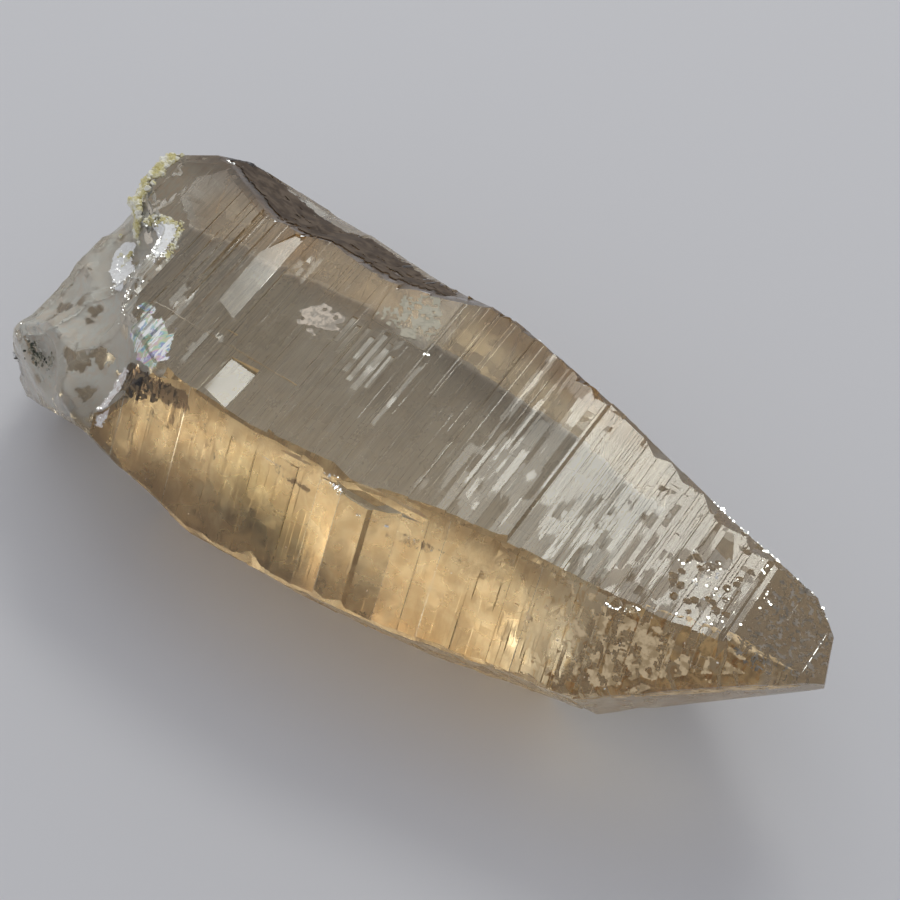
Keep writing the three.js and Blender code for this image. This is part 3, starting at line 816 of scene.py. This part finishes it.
def join_copies(name, pattern, turns):
    """One piece out of copies of a pattern, each with its own matrix."""
    copies = []
    for turn in turns:
        copy = bpy.data.objects.new(name, pattern.data.copy())
        copy.data.transform(turn)
        bpy.context.scene.collection.objects.link(copy)
        copies.append(copy)
    only(copies[0])
    for copy in copies:
        copy.select_set(True)
    bpy.ops.object.join()
    piece = bpy.context.active_object
    piece.name = name
    unlink(pattern)
    return piece


def unlink(thing):
    only(thing)
    bpy.ops.object.delete()


def small_crystal():
    """A stubby six-sided crystal, pointed at one end, of unit size."""
    bpy.ops.object.select_all(action="DESELECT")
    bpy.ops.mesh.primitive_cylinder_add(vertices=6, radius=0.6, depth=1.0, location=(0, 0, 0))
    crystal = bpy.context.active_object
    edit(crystal)
    bpy.ops.mesh.select_all(action="DESELECT")
    leave_edit()
    for polygon in crystal.data.polygons:
        polygon.select = polygon.normal.z > 0.9
    edit(crystal)
    bpy.ops.mesh.extrude_region_move(TRANSFORM_OT_translate={"value": (0, 0, 0.5)})
    bpy.ops.transform.resize(value=(0.25, 0.25, 1), center_override=(0, 0, 0.8))
    leave_edit()
    return crystal


def random_turn(chance):
    axis = Vector([chance.gauss(0, 1) for _ in range(3)]).normalized()
    return Matrix.Rotation(chance.uniform(0, 2 * math.pi), 4, axis)


# Lines of small crystals: from one place to another in mm, how many, how far they stray and their size.
CRUST = (
    ((6.3, 10.4, 19.2), (5.9, 7.0, 18.9), 330, 0.9, (0.16, 0.52)),
    ((5.9, 7.0, 18.6), (6.3, 4.2, 18.4), 330, 1.0, (0.18, 0.56)),
    ((6.4, 4.4, 18.2), (6.6, 3.0, 17.4), 130, 0.8, (0.16, 0.46)),
    ((6.6, 3.0, 17.2), (7.0, 1.4, 16.8), 70, 0.4, (0.12, 0.34)),
    ((8.8, 3.6, 19.0), (11.6, 4.2, 19.5), 110, 0.4, (0.08, 0.26)),
    ((11.9, 4.0, 19.5), (12.9, 0.6, 19.5), 90, 0.35, (0.07, 0.22)),
)
PIT = (
    ((4.6, -6.9, 11.4), (5.6, -7.0, 10.6), 46, 0.6, (0.10, 0.26)),
    ((6.4, -7.4, 11.2), (6.9, -7.2, 12.0), 26, 0.5, (0.08, 0.22)),
)


def scattered(name, lines, tree, chance, sink=0.25):
    """Small crystals along lines on the crystal's surface, as one piece."""
    turns = []
    for start, end, count, stray, (least, most) in lines:
        for _ in range(count):
            share = chance.random()
            place = [a + (b - a) * share + chance.gauss(0, stray * 0.5) for a, b in zip(start, end)]
            at, normal = on_surface(tree, place)
            size = chance.uniform(least, most)
            seat = at - normal * size * sink * MM
            turns.append(Matrix.Translation(seat) @ random_turn(chance) @ Matrix.Scale(size * MM, 4))
    return join_copies(name, small_crystal(), turns)


class QUARTZ_OT_crust(bpy.types.Operator):
    """Grow the crust of small crystals on the broken rim, and the dark grains in the pit"""

    bl_idname = "quartz.crust"
    bl_label = "Crust"

    def execute(self, context):
        chance = random.Random(context.scene.quartz_crystal.seed + 1)
        tree = surface_of("crystal")
        crust = scattered("rim_crust", CRUST, tree, chance)
        finish_piece(crust, mineral_material("rim_crust", (0.74, 0.66, 0.32), (0.96, 0.93, 0.82), 0.3, 0.9))
        grains = scattered("pit_grains", PIT, tree, chance)
        finish_piece(grains, mineral_material("pit_grains", (0.03, 0.04, 0.02), (0.5, 0.46, 0.36), 0.35, 0.5))
        return {"FINISHED"}


# ---- Fractures ------------------------------------------------------------------------------------------


def patch(name, tree, outline, spacing, lift, ragged, chance_seed, thickness=0.02, holes=None):
    """A thin flake that follows the surface inside an outline, whose points are in mm, with ragged edges.

    Its holes are given by how fine they are each way, for each mm, and where they are how common along the axis.
    """
    outline = [np.array(point) for point in outline]
    centre = sum(outline) / len(outline)
    _, _, axes = np.linalg.svd(np.array(outline) - centre)
    flat = [((point - centre) @ axes[0], (point - centre) @ axes[1]) for point in outline]
    reach = max(max(abs(u), abs(v)) for u, v in flat) + spacing
    steps = max(2, int(2 * reach / spacing))
    bpy.ops.object.select_all(action="DESELECT")
    bpy.ops.mesh.primitive_grid_add(x_subdivisions=steps, y_subdivisions=steps, size=2 * reach)
    piece = bpy.context.active_object
    piece.name = name
    mesh = piece.data
    grid = points_of(mesh)
    wobble = np.array([
        [noise.noise(Vector((u, v, chance_seed))), noise.noise(Vector((v, u, chance_seed + 9)))]
        for u, v, _ in grid * 1.7
    ]) * ragged
    kept = inside(flat, grid[:, 0] + wobble[:, 0], grid[:, 1] + wobble[:, 1])
    points = np.empty_like(grid)
    for i, (u, v, _) in enumerate(grid):
        place = centre + u * axes[0] + v * axes[1]
        points[i] = on_surface(tree, place, lift)[0] if kept[i] else here(*place)
        if holes and kept[i]:
            (fine_u, fine_v), places, shares = holes
            at = Vector((u * fine_u, v * fine_v, chance_seed))
            grain = noise.noise(at) + 0.8 * noise.noise(at * 2.3) + 0.7 * noise.noise(at * 5.1)
            kept[i] = grain > np.interp(place[0], places, shares)
    set_points(mesh, points)
    delete_points(piece, ~kept)
    thicken(piece, thickness)
    return piece


def delete_points(piece, gone):
    """Deletes the vertices that are marked True."""
    edit(piece)
    bpy.ops.mesh.select_mode(type="VERT")
    bpy.ops.mesh.select_all(action="DESELECT")
    leave_edit()
    piece.data.vertices.foreach_set("select", gone)
    edit(piece)
    bpy.ops.mesh.delete(type="VERT")
    leave_edit()


def thicken(piece, thickness_mm):
    """Gives an open sheet a wall."""
    only(piece)
    wall = piece.modifiers.new("wall", "SOLIDIFY")
    wall.thickness = thickness_mm * MM
    wall.offset = 1.0
    bpy.ops.object.modifier_apply(modifier=wall.name)


# Outlines of the thin flakes, in mm.
WHITE_BAND = (
    (6.0, 3.6, 15.3), (6.2, 2.2, 14.7), (7.0, 0.6, 14.8), (9.4, -1.9, 16.8), (10.6, -2.9, 17.8),
    (11.3, -1.3, 18.5), (9.3, 0.7, 16.6), (8.0, 2.0, 15.9), (7.5, 3.6, 16.0),
)
SPARKLE_PATCH = (
    (9.2, 3.6, 19.0), (10.6, 4.2, 19.5), (11.5, 4.2, 19.5), (12.4, 2.4, 19.5), (12.4, -0.2, 19.5),
    (10.6, 1.6, 19.2),
)
RAINBOW = (
    (14.9, -5.0, 19.4), (16.6, -4.5, 19.4), (18.2, -5.5, 19.4), (18.9, -7.2, 19.4), (18.6, -8.5, 19.2),
    (17.6, -8.7, 18.9), (16.0, -7.8, 18.0), (14.8, -6.6, 18.6),
)
RAINBOW_SPOT = ((13.6, -4.6, 18.6), (14.4, -3.6, 19.2), (15.8, -3.9, 19.4), (15.0, -5.2, 19.2))
RIM_STRIP = (
    (14.9, -8.0, 16.6), (15.9, -8.6, 17.2), (15.9, -10.2, 15.8), (15.7, -12.0, 13.6), (14.7, -12.0, 13.6),
    (14.7, -10.0, 15.4),
)
BROWN_BACK = (
    (8.6, 13.2, 17.4), (11.0, 12.3, 18.5), (15.8, 10.6, 18.7), (20.5, 8.8, 19.3), (24.0, 9.2, 19.0), (28.2, 9.2, 18.5),
    (33.0, 9.8, 17.4), (32.5, 12.0, 15.6), (26.0, 13.9, 14.2), (16.0, 14.8, 14.2), (9.0, 15.2, 14.8),
)
DARK_BAND = (
    (15.4, -8.4, 17.4), (18.0, -8.7, 18.4), (21.0, -9.0, 18.9), (21.6, -9.8, 17.6), (18.2, -10.0, 16.8),
    (15.7, -9.6, 15.9),
)

CLOUD_DEPTH_MM = 0.8
CLOUD_THICKNESS_MM = 0.03
CLOUD_GRAIN = 0.55 # how fine its holes are, for each mm
CLOUD_LEAST = -0.42 # the noise below which it has a hole


def cloudy_base():
    """A milky layer that follows the broken base at its depth, with ragged holes."""
    crystal = bpy.data.objects["crystal"]
    piece = bpy.data.objects.new("cloudy_fracture", crystal.data.copy())
    bpy.context.scene.collection.objects.link(piece)
    mesh = piece.data
    kept = np.zeros(len(mesh.vertices), bool)
    gone = np.zeros(len(mesh.vertices), bool)
    frost = np.empty(len(mesh.polygons), np.float32)
    mesh.attributes["frost"].data.foreach_get("value", frost)
    for polygon, value in zip(mesh.polygons, frost):
        (kept if value == np.float32(FROST_OF_BREAK) else gone)[list(polygon.vertices)] = True
    points = points_of(mesh) / MM
    holes = np.zeros(len(points), bool)
    for v in np.nonzero(kept & ~gone)[0]:
        at = Vector(points[v])
        holes[v] = noise.noise(at * CLOUD_GRAIN) + 0.6 * noise.noise(at * 3.3 * CLOUD_GRAIN) < CLOUD_LEAST
    delete_points(piece, ~kept | gone | holes)
    while mesh.attributes:
        layer = next((a for a in mesh.attributes if not a.is_required and not a.is_internal), None)
        if layer is None:
            break
        mesh.attributes.remove(layer)
    edit(piece)
    bpy.ops.mesh.select_all(action="SELECT")
    bpy.ops.transform.shrink_fatten(value=-CLOUD_DEPTH_MM * MM)
    leave_edit()
    thicken(piece, CLOUD_THICKNESS_MM)
    return piece


class QUARTZ_OT_fractures(bpy.types.Operator):
    """Lay in the white and rainbow fractures of the broken base"""

    bl_idname = "quartz.fractures"
    bl_label = "Fractures"

    def execute(self, context):
        tree = surface_of("crystal")
        white = mineral_material("white_fracture", (0.9, 0.88, 0.87), (0.97, 0.96, 0.96), 0.3, 0.5)
        blush = mineral_material("blush_fracture", (0.72, 0.62, 0.57), (0.92, 0.88, 0.86), 0.3, 0.5)
        finish_piece(patch("white_fracture", tree, WHITE_BAND, 0.12, 0.01, 0.35, 3), white)
        finish_piece(patch("sparkling_fracture", tree, SPARKLE_PATCH, 0.12, 0.01, 0.5, 5), white)
        rainbow = rainbow_material()
        finish_piece(patch("rainbow_fracture", tree, RAINBOW, 0.1, 0.01, 0.7, 7), rainbow)
        finish_piece(patch("rainbow_spot", tree, RAINBOW_SPOT, 0.1, 0.01, 0.5, 9), rainbow)
        brown = mineral_material("brown_break", (0.09, 0.066, 0.05), (0.18, 0.14, 0.11), 0.8, 1.1, shine=0.05)
        holes = ((0.5, 1.2), (8, 24, 30, 33), (-0.9, -0.9, -0.6, 0.0))
        finish_piece(patch("brown_break", tree, BROWN_BACK, 0.12, 0.07, 0.8, 27, holes=holes), brown)
        dark = mineral_material("dark_break", (0.05, 0.035, 0.02), (0.22, 0.15, 0.08), 0.4, 0.5)
        holes = ((2.4, 0.7), (15, 18, 22), (-0.5, -0.2, 0.1))
        finish_piece(patch("dark_break", tree, DARK_BAND, 0.08, 0.01, 0.5, 29, holes=holes), dark)
        finish_piece(patch("rim_fracture", tree, RIM_STRIP, 0.12, 0.01, 0.4, 11), blush)
        cloud = mineral_material("cloudy_fracture", (1.0, 0.93, 0.87), (1.0, 1.0, 0.985), 0.5, 1.0)
        finish_piece(cloudy_base(), cloud)
        return {"FINISHED"}


# ---- Inclusions, painted glow and painted shade ---------------------------------------------------------

# Outlines of the inclusions, and of the sheets of painted glow and painted shade towards the tip, in mm.
PEACH = (
    (24.7, 1.2, 19.4), (25.4, 3.0, 19.4), (27.6, 2.8, 19.4), (28.3, 1.6, 19.4), (27.4, 0.5, 19.4), (25.9, 0.2, 19.4),
)
BEIGE = (
    (29.6, 4.2, 19.3), (30.4, 7.6, 19.3), (32.6, 8.4, 19.2), (34.5, 6.0, 19.2), (34.4, 4.0, 19.3), (32.0, 3.6, 19.4),
)
# Painted glow: an opaque gold sheet on the front faces towards the tip, for the light that crosses the crystal there.
GOLD_GLOW_SHEET = (
    (48.5, -9.6, 18.6), (58.5, -8.5, 18.3), (66.0, -7.3, 17.8), (70.9, -6.0, 15.6), (70.4, -5.8, 13.9),
    (64.0, -9.4, 12.0), (56.5, -12.6, 11.0), (49.5, -13.6, 11.8),
)
# Painted shade: a dull grey sheet on the tip facet, for the shaded floor seen through the tip.
TIP_SHADE_SHEET = (
    (66.3, 2.4, 18.0), (69.2, 1.2, 17.2), (71.2, -0.2, 16.3), (71.8, -3.0, 15.9), (71.3, -6.1, 15.6),
    (68.0, -7.8, 16.9), (66.2, -7.8, 17.8),
)

# Flecks on the faces: a piece's two colours, then for each face from where to where along the axis and
# across it in mm, how many, and their size.
FLECKS = {
    # The gold flecks are partly painted glow: their light gold brightens the front faces towards the tip.
    "gold_flecks": (((0.62, 0.42, 0.20), (0.94, 0.70, 0.40)), (
        ("front_upper", (54, 67.5), (-6.5, 6.0), 150, (0.08, 0.40)),
        ("front_lower", (54, 68), (-6.0, 0.0), 90, (0.12, 0.5)),
    )),
    "pale_flecks": (((0.9, 0.74, 0.56), (1.0, 0.94, 0.84)), (
        ("front_upper", (52, 67.5), (-6.5, 6.0), 110, (0.05, 0.28)),
        ("front_upper", (16, 46), (-6.0, 5.5), 26, (0.05, 0.2)),
        ("top", (66.2, 71.6), (-0.8, 7.6), 60, (0.03, 0.09)),
    )),
}
FLECK_LIFT_MM = 0.01
FLECK_STRAY = 0.16
FLECK_THIN = 0.25 # flecks are this much thinner than the bright flakes
FLECK_OFF = 0.9 # how nearly a place must look along its face to take a fleck


def flecks(name, places, tree, chance):
    """Small thin flakes scattered on the crystal's faces."""
    turns = []
    up = Vector((0, 0, 1))
    for face, (start, end), (low, high), count, (least, most) in places:
        outward = Vector(facing(FACE_AZIMUTHS[face]))
        side = Vector((1, 0, 0)).cross(outward)
        for _ in range(count):
            origin = here(chance.uniform(start, end), 0, AXIS_HEIGHT_MM) + side * chance.uniform(low, high) * MM
            at, normal, _, _ = tree.ray_cast(origin + outward * 30 * MM, -outward)
            size = (least + (most - least) * chance.random() ** 2) * MM
            stray = Vector([chance.gauss(0, FLECK_STRAY) for _ in range(3)])
            if at is None or normal.dot(outward) < FLECK_OFF:
                continue
            turn = up.rotation_difference(normal + stray).to_matrix().to_4x4()
            stretch = Matrix.Diagonal((size * chance.uniform(0.25, 0.8), size, size * FLECK_THIN, 1))
            seat = Matrix.Translation(at + normal * FLECK_LIFT_MM * MM)
            turns.append(seat @ turn @ Matrix.Rotation(chance.uniform(0, 6.3), 4, "Z") @ stretch)
    return join_copies(name, flake(), turns)


class QUARTZ_OT_inclusions(bpy.types.Operator):
    """Lay in the pale inclusions of the top face, the sheets of painted glow and painted shade towards the tip and the
    flecks of the faces
    """

    bl_idname = "quartz.inclusions"
    bl_label = "Inclusions"

    def execute(self, context):
        tree = surface_of("crystal")
        peach = mineral_material("peach_inclusion", (0.36, 0.30, 0.235), (0.74, 0.62, 0.50), 0.4, 0.6)
        holes = ((1.3, 1.3), (0, 72), (-1.1, -1.1))
        finish_piece(patch("peach_inclusion", tree, PEACH, 0.07, 0.01, 0.9, 13, holes=holes), peach)
        beige = mineral_material("beige_fracture", (0.34, 0.30, 0.21), (0.50, 0.45, 0.34), 0.3, 0.9)
        holes = ((1.0, 1.6), (28, 35), (-0.1, -0.45))
        finish_piece(patch("beige_fracture", tree, BEIGE, 0.1, 0.01, 0.5, 17, holes=holes), beige)
        # Painted glow: a gold sheet on the front faces towards the tip.
        glow_material = mineral_material("gold_veil", (0.54, 0.38, 0.20), (0.90, 0.68, 0.41), 0.45, 0.7, shine=0.3)
        holes = ((1.1, 0.8), (50, 56, 60, 68), (0.9, 0.12, -0.34, -0.34))
        finish_piece(patch("gold_veil", tree, GOLD_GLOW_SHEET, 0.08, 0.01, 0.3, 19, holes=holes), glow_material)
        # Painted shade: a dull grey sheet on the tip facet.
        shade_material = mineral_material("tip_veil", (0.20, 0.17, 0.135), (0.36, 0.31, 0.26), 0.6, 0.7, shine=0.15)
        holes = ((2.4, 2.4), (66, 67.5, 72), (0.1, -0.06, 0.0))
        finish_piece(patch("tip_veil", tree, TIP_SHADE_SHEET, 0.06, 0.01, 0.3, 23, holes=holes), shade_material)
        chance = random.Random(context.scene.quartz_crystal.seed + 3)
        for name, (colours, places) in FLECKS.items():
            finish_piece(flecks(name, places, tree, chance), mineral_material(name, *colours, 0.4, 0.8))
        return {"FINISHED"}


# ---- Glints ---------------------------------------------------------------------------------------------

GLINT_FACING = Vector((0.153, 0.035, 0.988)) # flakes lie near this way, as the cleavage of the chips does
GLINT_STRAY = 0.07

# Where bright flakes lie: from one place to another in mm, how many, how far they stray and their size.
GLINTS = (
    ((59.6, 3.6, 18.4), (61.0, 3.0, 18.3), 26, 0.4, (0.08, 0.5)),
    ((62.2, 2.6, 18.2), (65.5, 1.4, 17.9), 44, 0.5, (0.06, 0.5)),
    ((66.5, 1.0, 17.6), (70.6, -0.8, 16.6), 16, 0.2, (0.06, 0.3)),
    ((60.4, -2.2, 18.3), (64.6, -6.2, 18.1), 90, 1.6, (0.05, 0.26)),
    ((64.6, 0.0, 18.2), (66.6, -3.6, 18.0), 30, 0.8, (0.05, 0.26)),
    ((34.6, -10.6, 19.0), (36.6, -10.8, 18.6), 40, 0.4, (0.08, 0.34)),
    ((38.0, -11.0, 17.6), (44.0, -11.0, 17.0), 30, 0.15, (0.06, 0.3)),
    ((57.0, -9.4, 18.4), (59.2, -8.6, 18.4), 34, 0.25, (0.08, 0.34)),
    ((9.4, 3.4, 19.1), (12.4, 0.4, 19.5), 90, 0.7, (0.06, 0.32)),
    ((6.6, 2.6, 15.4), (9.6, -2.0, 16.8), 60, 0.9, (0.04, 0.2)),
    ((11.6, -1.0, 18.8), (13.4, -5.4, 18.6), 70, 0.9, (0.04, 0.22)),
    ((4.2, -6.6, 12.2), (7.2, -7.2, 10.8), 90, 1.1, (0.06, 0.32)),
    ((14.8, -8.6, 16.4), (15.0, -11.6, 14.0), 30, 0.5, (0.06, 0.3)),
    ((10.4, 12.2, 19.1), (10.9, 12.8, 18.6), 14, 0.2, (0.14, 0.34)),
    ((34.8, 2.8, 19.4), (35.2, 3.0, 19.4), 6, 0.1, (0.1, 0.2)),
)

# Bright edges: thin strips from one place to another, in mm, with their width.
BRIGHT_EDGES = (
    ((20.75, -1.6, 19.4), (20.75, 8.2, 19.4), 0.05),
    ((25.4, -9.0, 19.3), (25.4, -5.0, 19.3), 0.09),
    ((34.6, 3.2, 19.3), (34.6, 10.0, 19.3), 0.08),
    ((29.0, -10.6, 18.0), (32.6, -10.8, 17.8), 0.08),
    ((44.4, -11.2, 15.4), (47.6, -11.0, 15.2), 0.07),
    ((70.7, -6.0, 16.4), (70.7, -1.8, 16.4), 0.07),
    ((68.1, -3.2, 17.3), (68.0, 0.0, 17.1), 0.04),
)


def flake():
    """A flat flake with five corners, of unit size."""
    bpy.ops.object.select_all(action="DESELECT")
    bpy.ops.mesh.primitive_circle_add(vertices=5, radius=0.5, fill_type="NGON", location=(0, 0, 0))
    piece = bpy.context.active_object
    edit(piece)
    bpy.ops.mesh.select_all(action="SELECT")
    bpy.ops.mesh.extrude_region_move(TRANSFORM_OT_translate={"value": (0, 0, -0.12)})
    bpy.ops.mesh.select_all(action="SELECT")
    bpy.ops.mesh.normals_make_consistent(inside=False)
    leave_edit()
    return piece


class QUARTZ_OT_glints(bpy.types.Operator):
    """Add the bright flakes that sparkle at the chips and along the edges"""

    bl_idname = "quartz.glints"
    bl_label = "Glints"

    def execute(self, context):
        chance = random.Random(context.scene.quartz_crystal.seed + 2)
        tree = surface_of("crystal")
        up = Vector((0, 0, 1))
        turns = []
        for start, end, count, stray, (least, most) in GLINTS:
            for _ in range(count):
                share = chance.random()
                place = [a + (b - a) * share + chance.gauss(0, stray * 0.5) for a, b in zip(start, end)]
                at, _ = on_surface(tree, place, 0.02)
                facing_way = GLINT_FACING + Vector([chance.gauss(0, GLINT_STRAY) for _ in range(3)])
                turn = up.rotation_difference(facing_way).to_matrix().to_4x4()
                spin = Matrix.Rotation(chance.uniform(0, 6.3), 4, "Z")
                size = (least + (most - least) * chance.random() ** 3) * MM
                stretch = Matrix.Diagonal((size * chance.uniform(0.4, 1.5), size, size, 1))
                turns.append(Matrix.Translation(at) @ turn @ spin @ stretch)
        for start, end, width in BRIGHT_EDGES:
            a, b = on_surface(tree, start, 0.02)[0], on_surface(tree, end, 0.02)[0]
            line = b - a
            outward = (GLINT_FACING - line * (GLINT_FACING.dot(line) / line.length_squared)).normalized()
            side = line.normalized().cross(outward)
            turn = Matrix((line.normalized(), -side, outward)).transposed().to_4x4()
            stretch = Matrix.Diagonal((line.length, width * MM, 0.1 * MM, 1))
            turns.append(Matrix.Translation((a + b) / 2) @ turn @ stretch)
        glints = join_copies("glints", flake(), turns)
        finish_piece(glints, mineral_material("silver_flakes", (0.86, 0.86, 0.84), (0.98, 0.98, 0.97), 0.12, 0.4, 1.0))
        return {"FINISHED"}


# ---- The stage ------------------------------------------------------------------------------------------

TARGET_MM = (34, 5, 8)
TARGET_AT_PIXEL = (430, 430)
FRAME_PIXELS = 900
CAMERA_AZIMUTH = 32
CAMERA_ELEVATION = 50
CAMERA_DISTANCE = 0.1953
CAMERA_LENS = 100
CAMERA_SENSOR = 36
# The soft boxes: which way each lies, how far off, its sides and its radiance.
SOFT_BOXES = (
    ("key", (-0.07, 0.60, 0.79), 0.6, (0.20, 0.10), 5.0),
    ("key_halo", (-0.07, 0.60, 0.79), 0.604, (0.26, 0.15), 2.3),
    ("panel", (-0.52, 0.48, 0.70), 0.62, (0.36, 0.55), 0.62),
)
SOFT_BOX_COLOUR = (0.985, 1.0, 0.93)
FLOOR_SIDE = 6
FLOOR_GAP = 0.00005 # the floor lies this far under the crystal
BOUNCES = 24 # light turns back inside the crystal many times before it leaves


def towards(azimuth, elevation):
    """The unit vector from the crystal towards a place at this azimuth and elevation."""
    a, e = math.radians(azimuth), math.radians(elevation)
    return Vector((math.sin(a) * math.cos(e), -math.cos(a) * math.cos(e), math.sin(e)))


def soft_box(name, direction, distance, size, radiance):
    """A flat area light that looks at the crystal and shines with the given radiance."""
    data = bpy.data.lights.new(name, "AREA")
    data.shape = "RECTANGLE"
    data.size, data.size_y = size
    data.energy = radiance * math.pi * size[0] * size[1]
    data.color = SOFT_BOX_COLOUR
    light = bpy.data.objects.new(name, data)
    light.location = direction.normalized() * distance
    light.rotation_euler = direction.to_track_quat("Z", "Y").to_euler()
    bpy.context.scene.collection.objects.link(light)
    return light


class QUARTZ_OT_stage(bpy.types.Operator):
    """Set the pale floor, the soft lights and the camera"""

    bl_idname = "quartz.stage"
    bl_label = "Stage"

    def execute(self, context):
        scene = context.scene
        stage = scene.quartz_stage
        bpy.ops.object.select_all(action="DESELECT")
        bpy.ops.mesh.primitive_plane_add(size=FLOOR_SIDE, location=(0, 0, -FLOOR_GAP))
        floor = context.active_object
        floor.name = "floor"
        bpy.ops.object.transform_apply(location=True, rotation=True, scale=True)
        floor.data.materials.append(floor_material())

        world = bpy.data.worlds.new("studio")
        world.use_nodes = True
        world.node_tree.nodes["Background"].inputs["Color"].default_value = (0.92, 0.95, 1.0, 1)
        world.node_tree.nodes["Background"].inputs["Strength"].default_value = stage.sky
        scene.world = world
        for name, direction, distance, size, radiance in SOFT_BOXES:
            soft_box(name, Vector(direction), distance, size, radiance)
        scene.view_settings.view_transform = "Standard"
        scene.cycles.max_bounces = BOUNCES
        scene.cycles.glossy_bounces = BOUNCES
        scene.cycles.transmission_bounces = BOUNCES

        camera_data = bpy.data.cameras.new("camera")
        camera_data.lens = CAMERA_LENS
        camera_data.sensor_width = CAMERA_SENSOR
        camera_data.clip_start = 0.005
        camera_data.shift_x = (FRAME_PIXELS / 2 - TARGET_AT_PIXEL[0]) / FRAME_PIXELS
        camera_data.shift_y = (TARGET_AT_PIXEL[1] - FRAME_PIXELS / 2) / FRAME_PIXELS
        camera = bpy.data.objects.new("camera", camera_data)
        back = towards(CAMERA_AZIMUTH, CAMERA_ELEVATION)
        camera.location = here(*TARGET_MM) + back * CAMERA_DISTANCE
        camera.rotation_euler = back.to_track_quat("Z", "Y").to_euler()
        scene.collection.objects.link(camera)
        scene.camera = camera
        return {"FINISHED"}


# ---- The add-on -----------------------------------------------------------------------------------------

OPERATORS = (
    QUARTZ_OT_crystal, QUARTZ_OT_crust, QUARTZ_OT_fractures, QUARTZ_OT_inclusions, QUARTZ_OT_glints, QUARTZ_OT_stage,
)


class QUARTZ_PT_panel(bpy.types.Panel):
    """Lists the steps that build the crystal"""

    bl_idname = "QUARTZ_PT_panel"
    bl_label = "Smoky quartz"
    bl_space_type = "VIEW_3D"
    bl_region_type = "UI"
    bl_category = "Crystal"

    def draw(self, context):
        for settings in (context.scene.quartz_crystal, context.scene.quartz_finish, context.scene.quartz_stage):
            for name in settings.__annotations__:
                self.layout.prop(settings, name)
        for operator in OPERATORS:
            self.layout.operator(operator.bl_idname)


SETTINGS = {
    "quartz_crystal": CrystalSettings, "quartz_finish": FinishSettings, "quartz_stage": StageSettings,
}


def register():
    for cls in (*SETTINGS.values(), *OPERATORS, QUARTZ_PT_panel):
        bpy.utils.register_class(cls)
    for name, cls in SETTINGS.items():
        setattr(bpy.types.Scene, name, bpy.props.PointerProperty(type=cls))


def unregister():
    for name in SETTINGS:
        delattr(bpy.types.Scene, name)
    for cls in reversed((*SETTINGS.values(), *OPERATORS, QUARTZ_PT_panel)):
        bpy.utils.unregister_class(cls)


def main():
    register()
    bpy.ops.quartz.crystal()
    bpy.ops.quartz.crust()
    bpy.ops.quartz.fractures()
    bpy.ops.quartz.inclusions()
    bpy.ops.quartz.glints()
    bpy.ops.quartz.stage()
    bpy.context.view_layer.update()


if __name__ == "__main__":
    main()
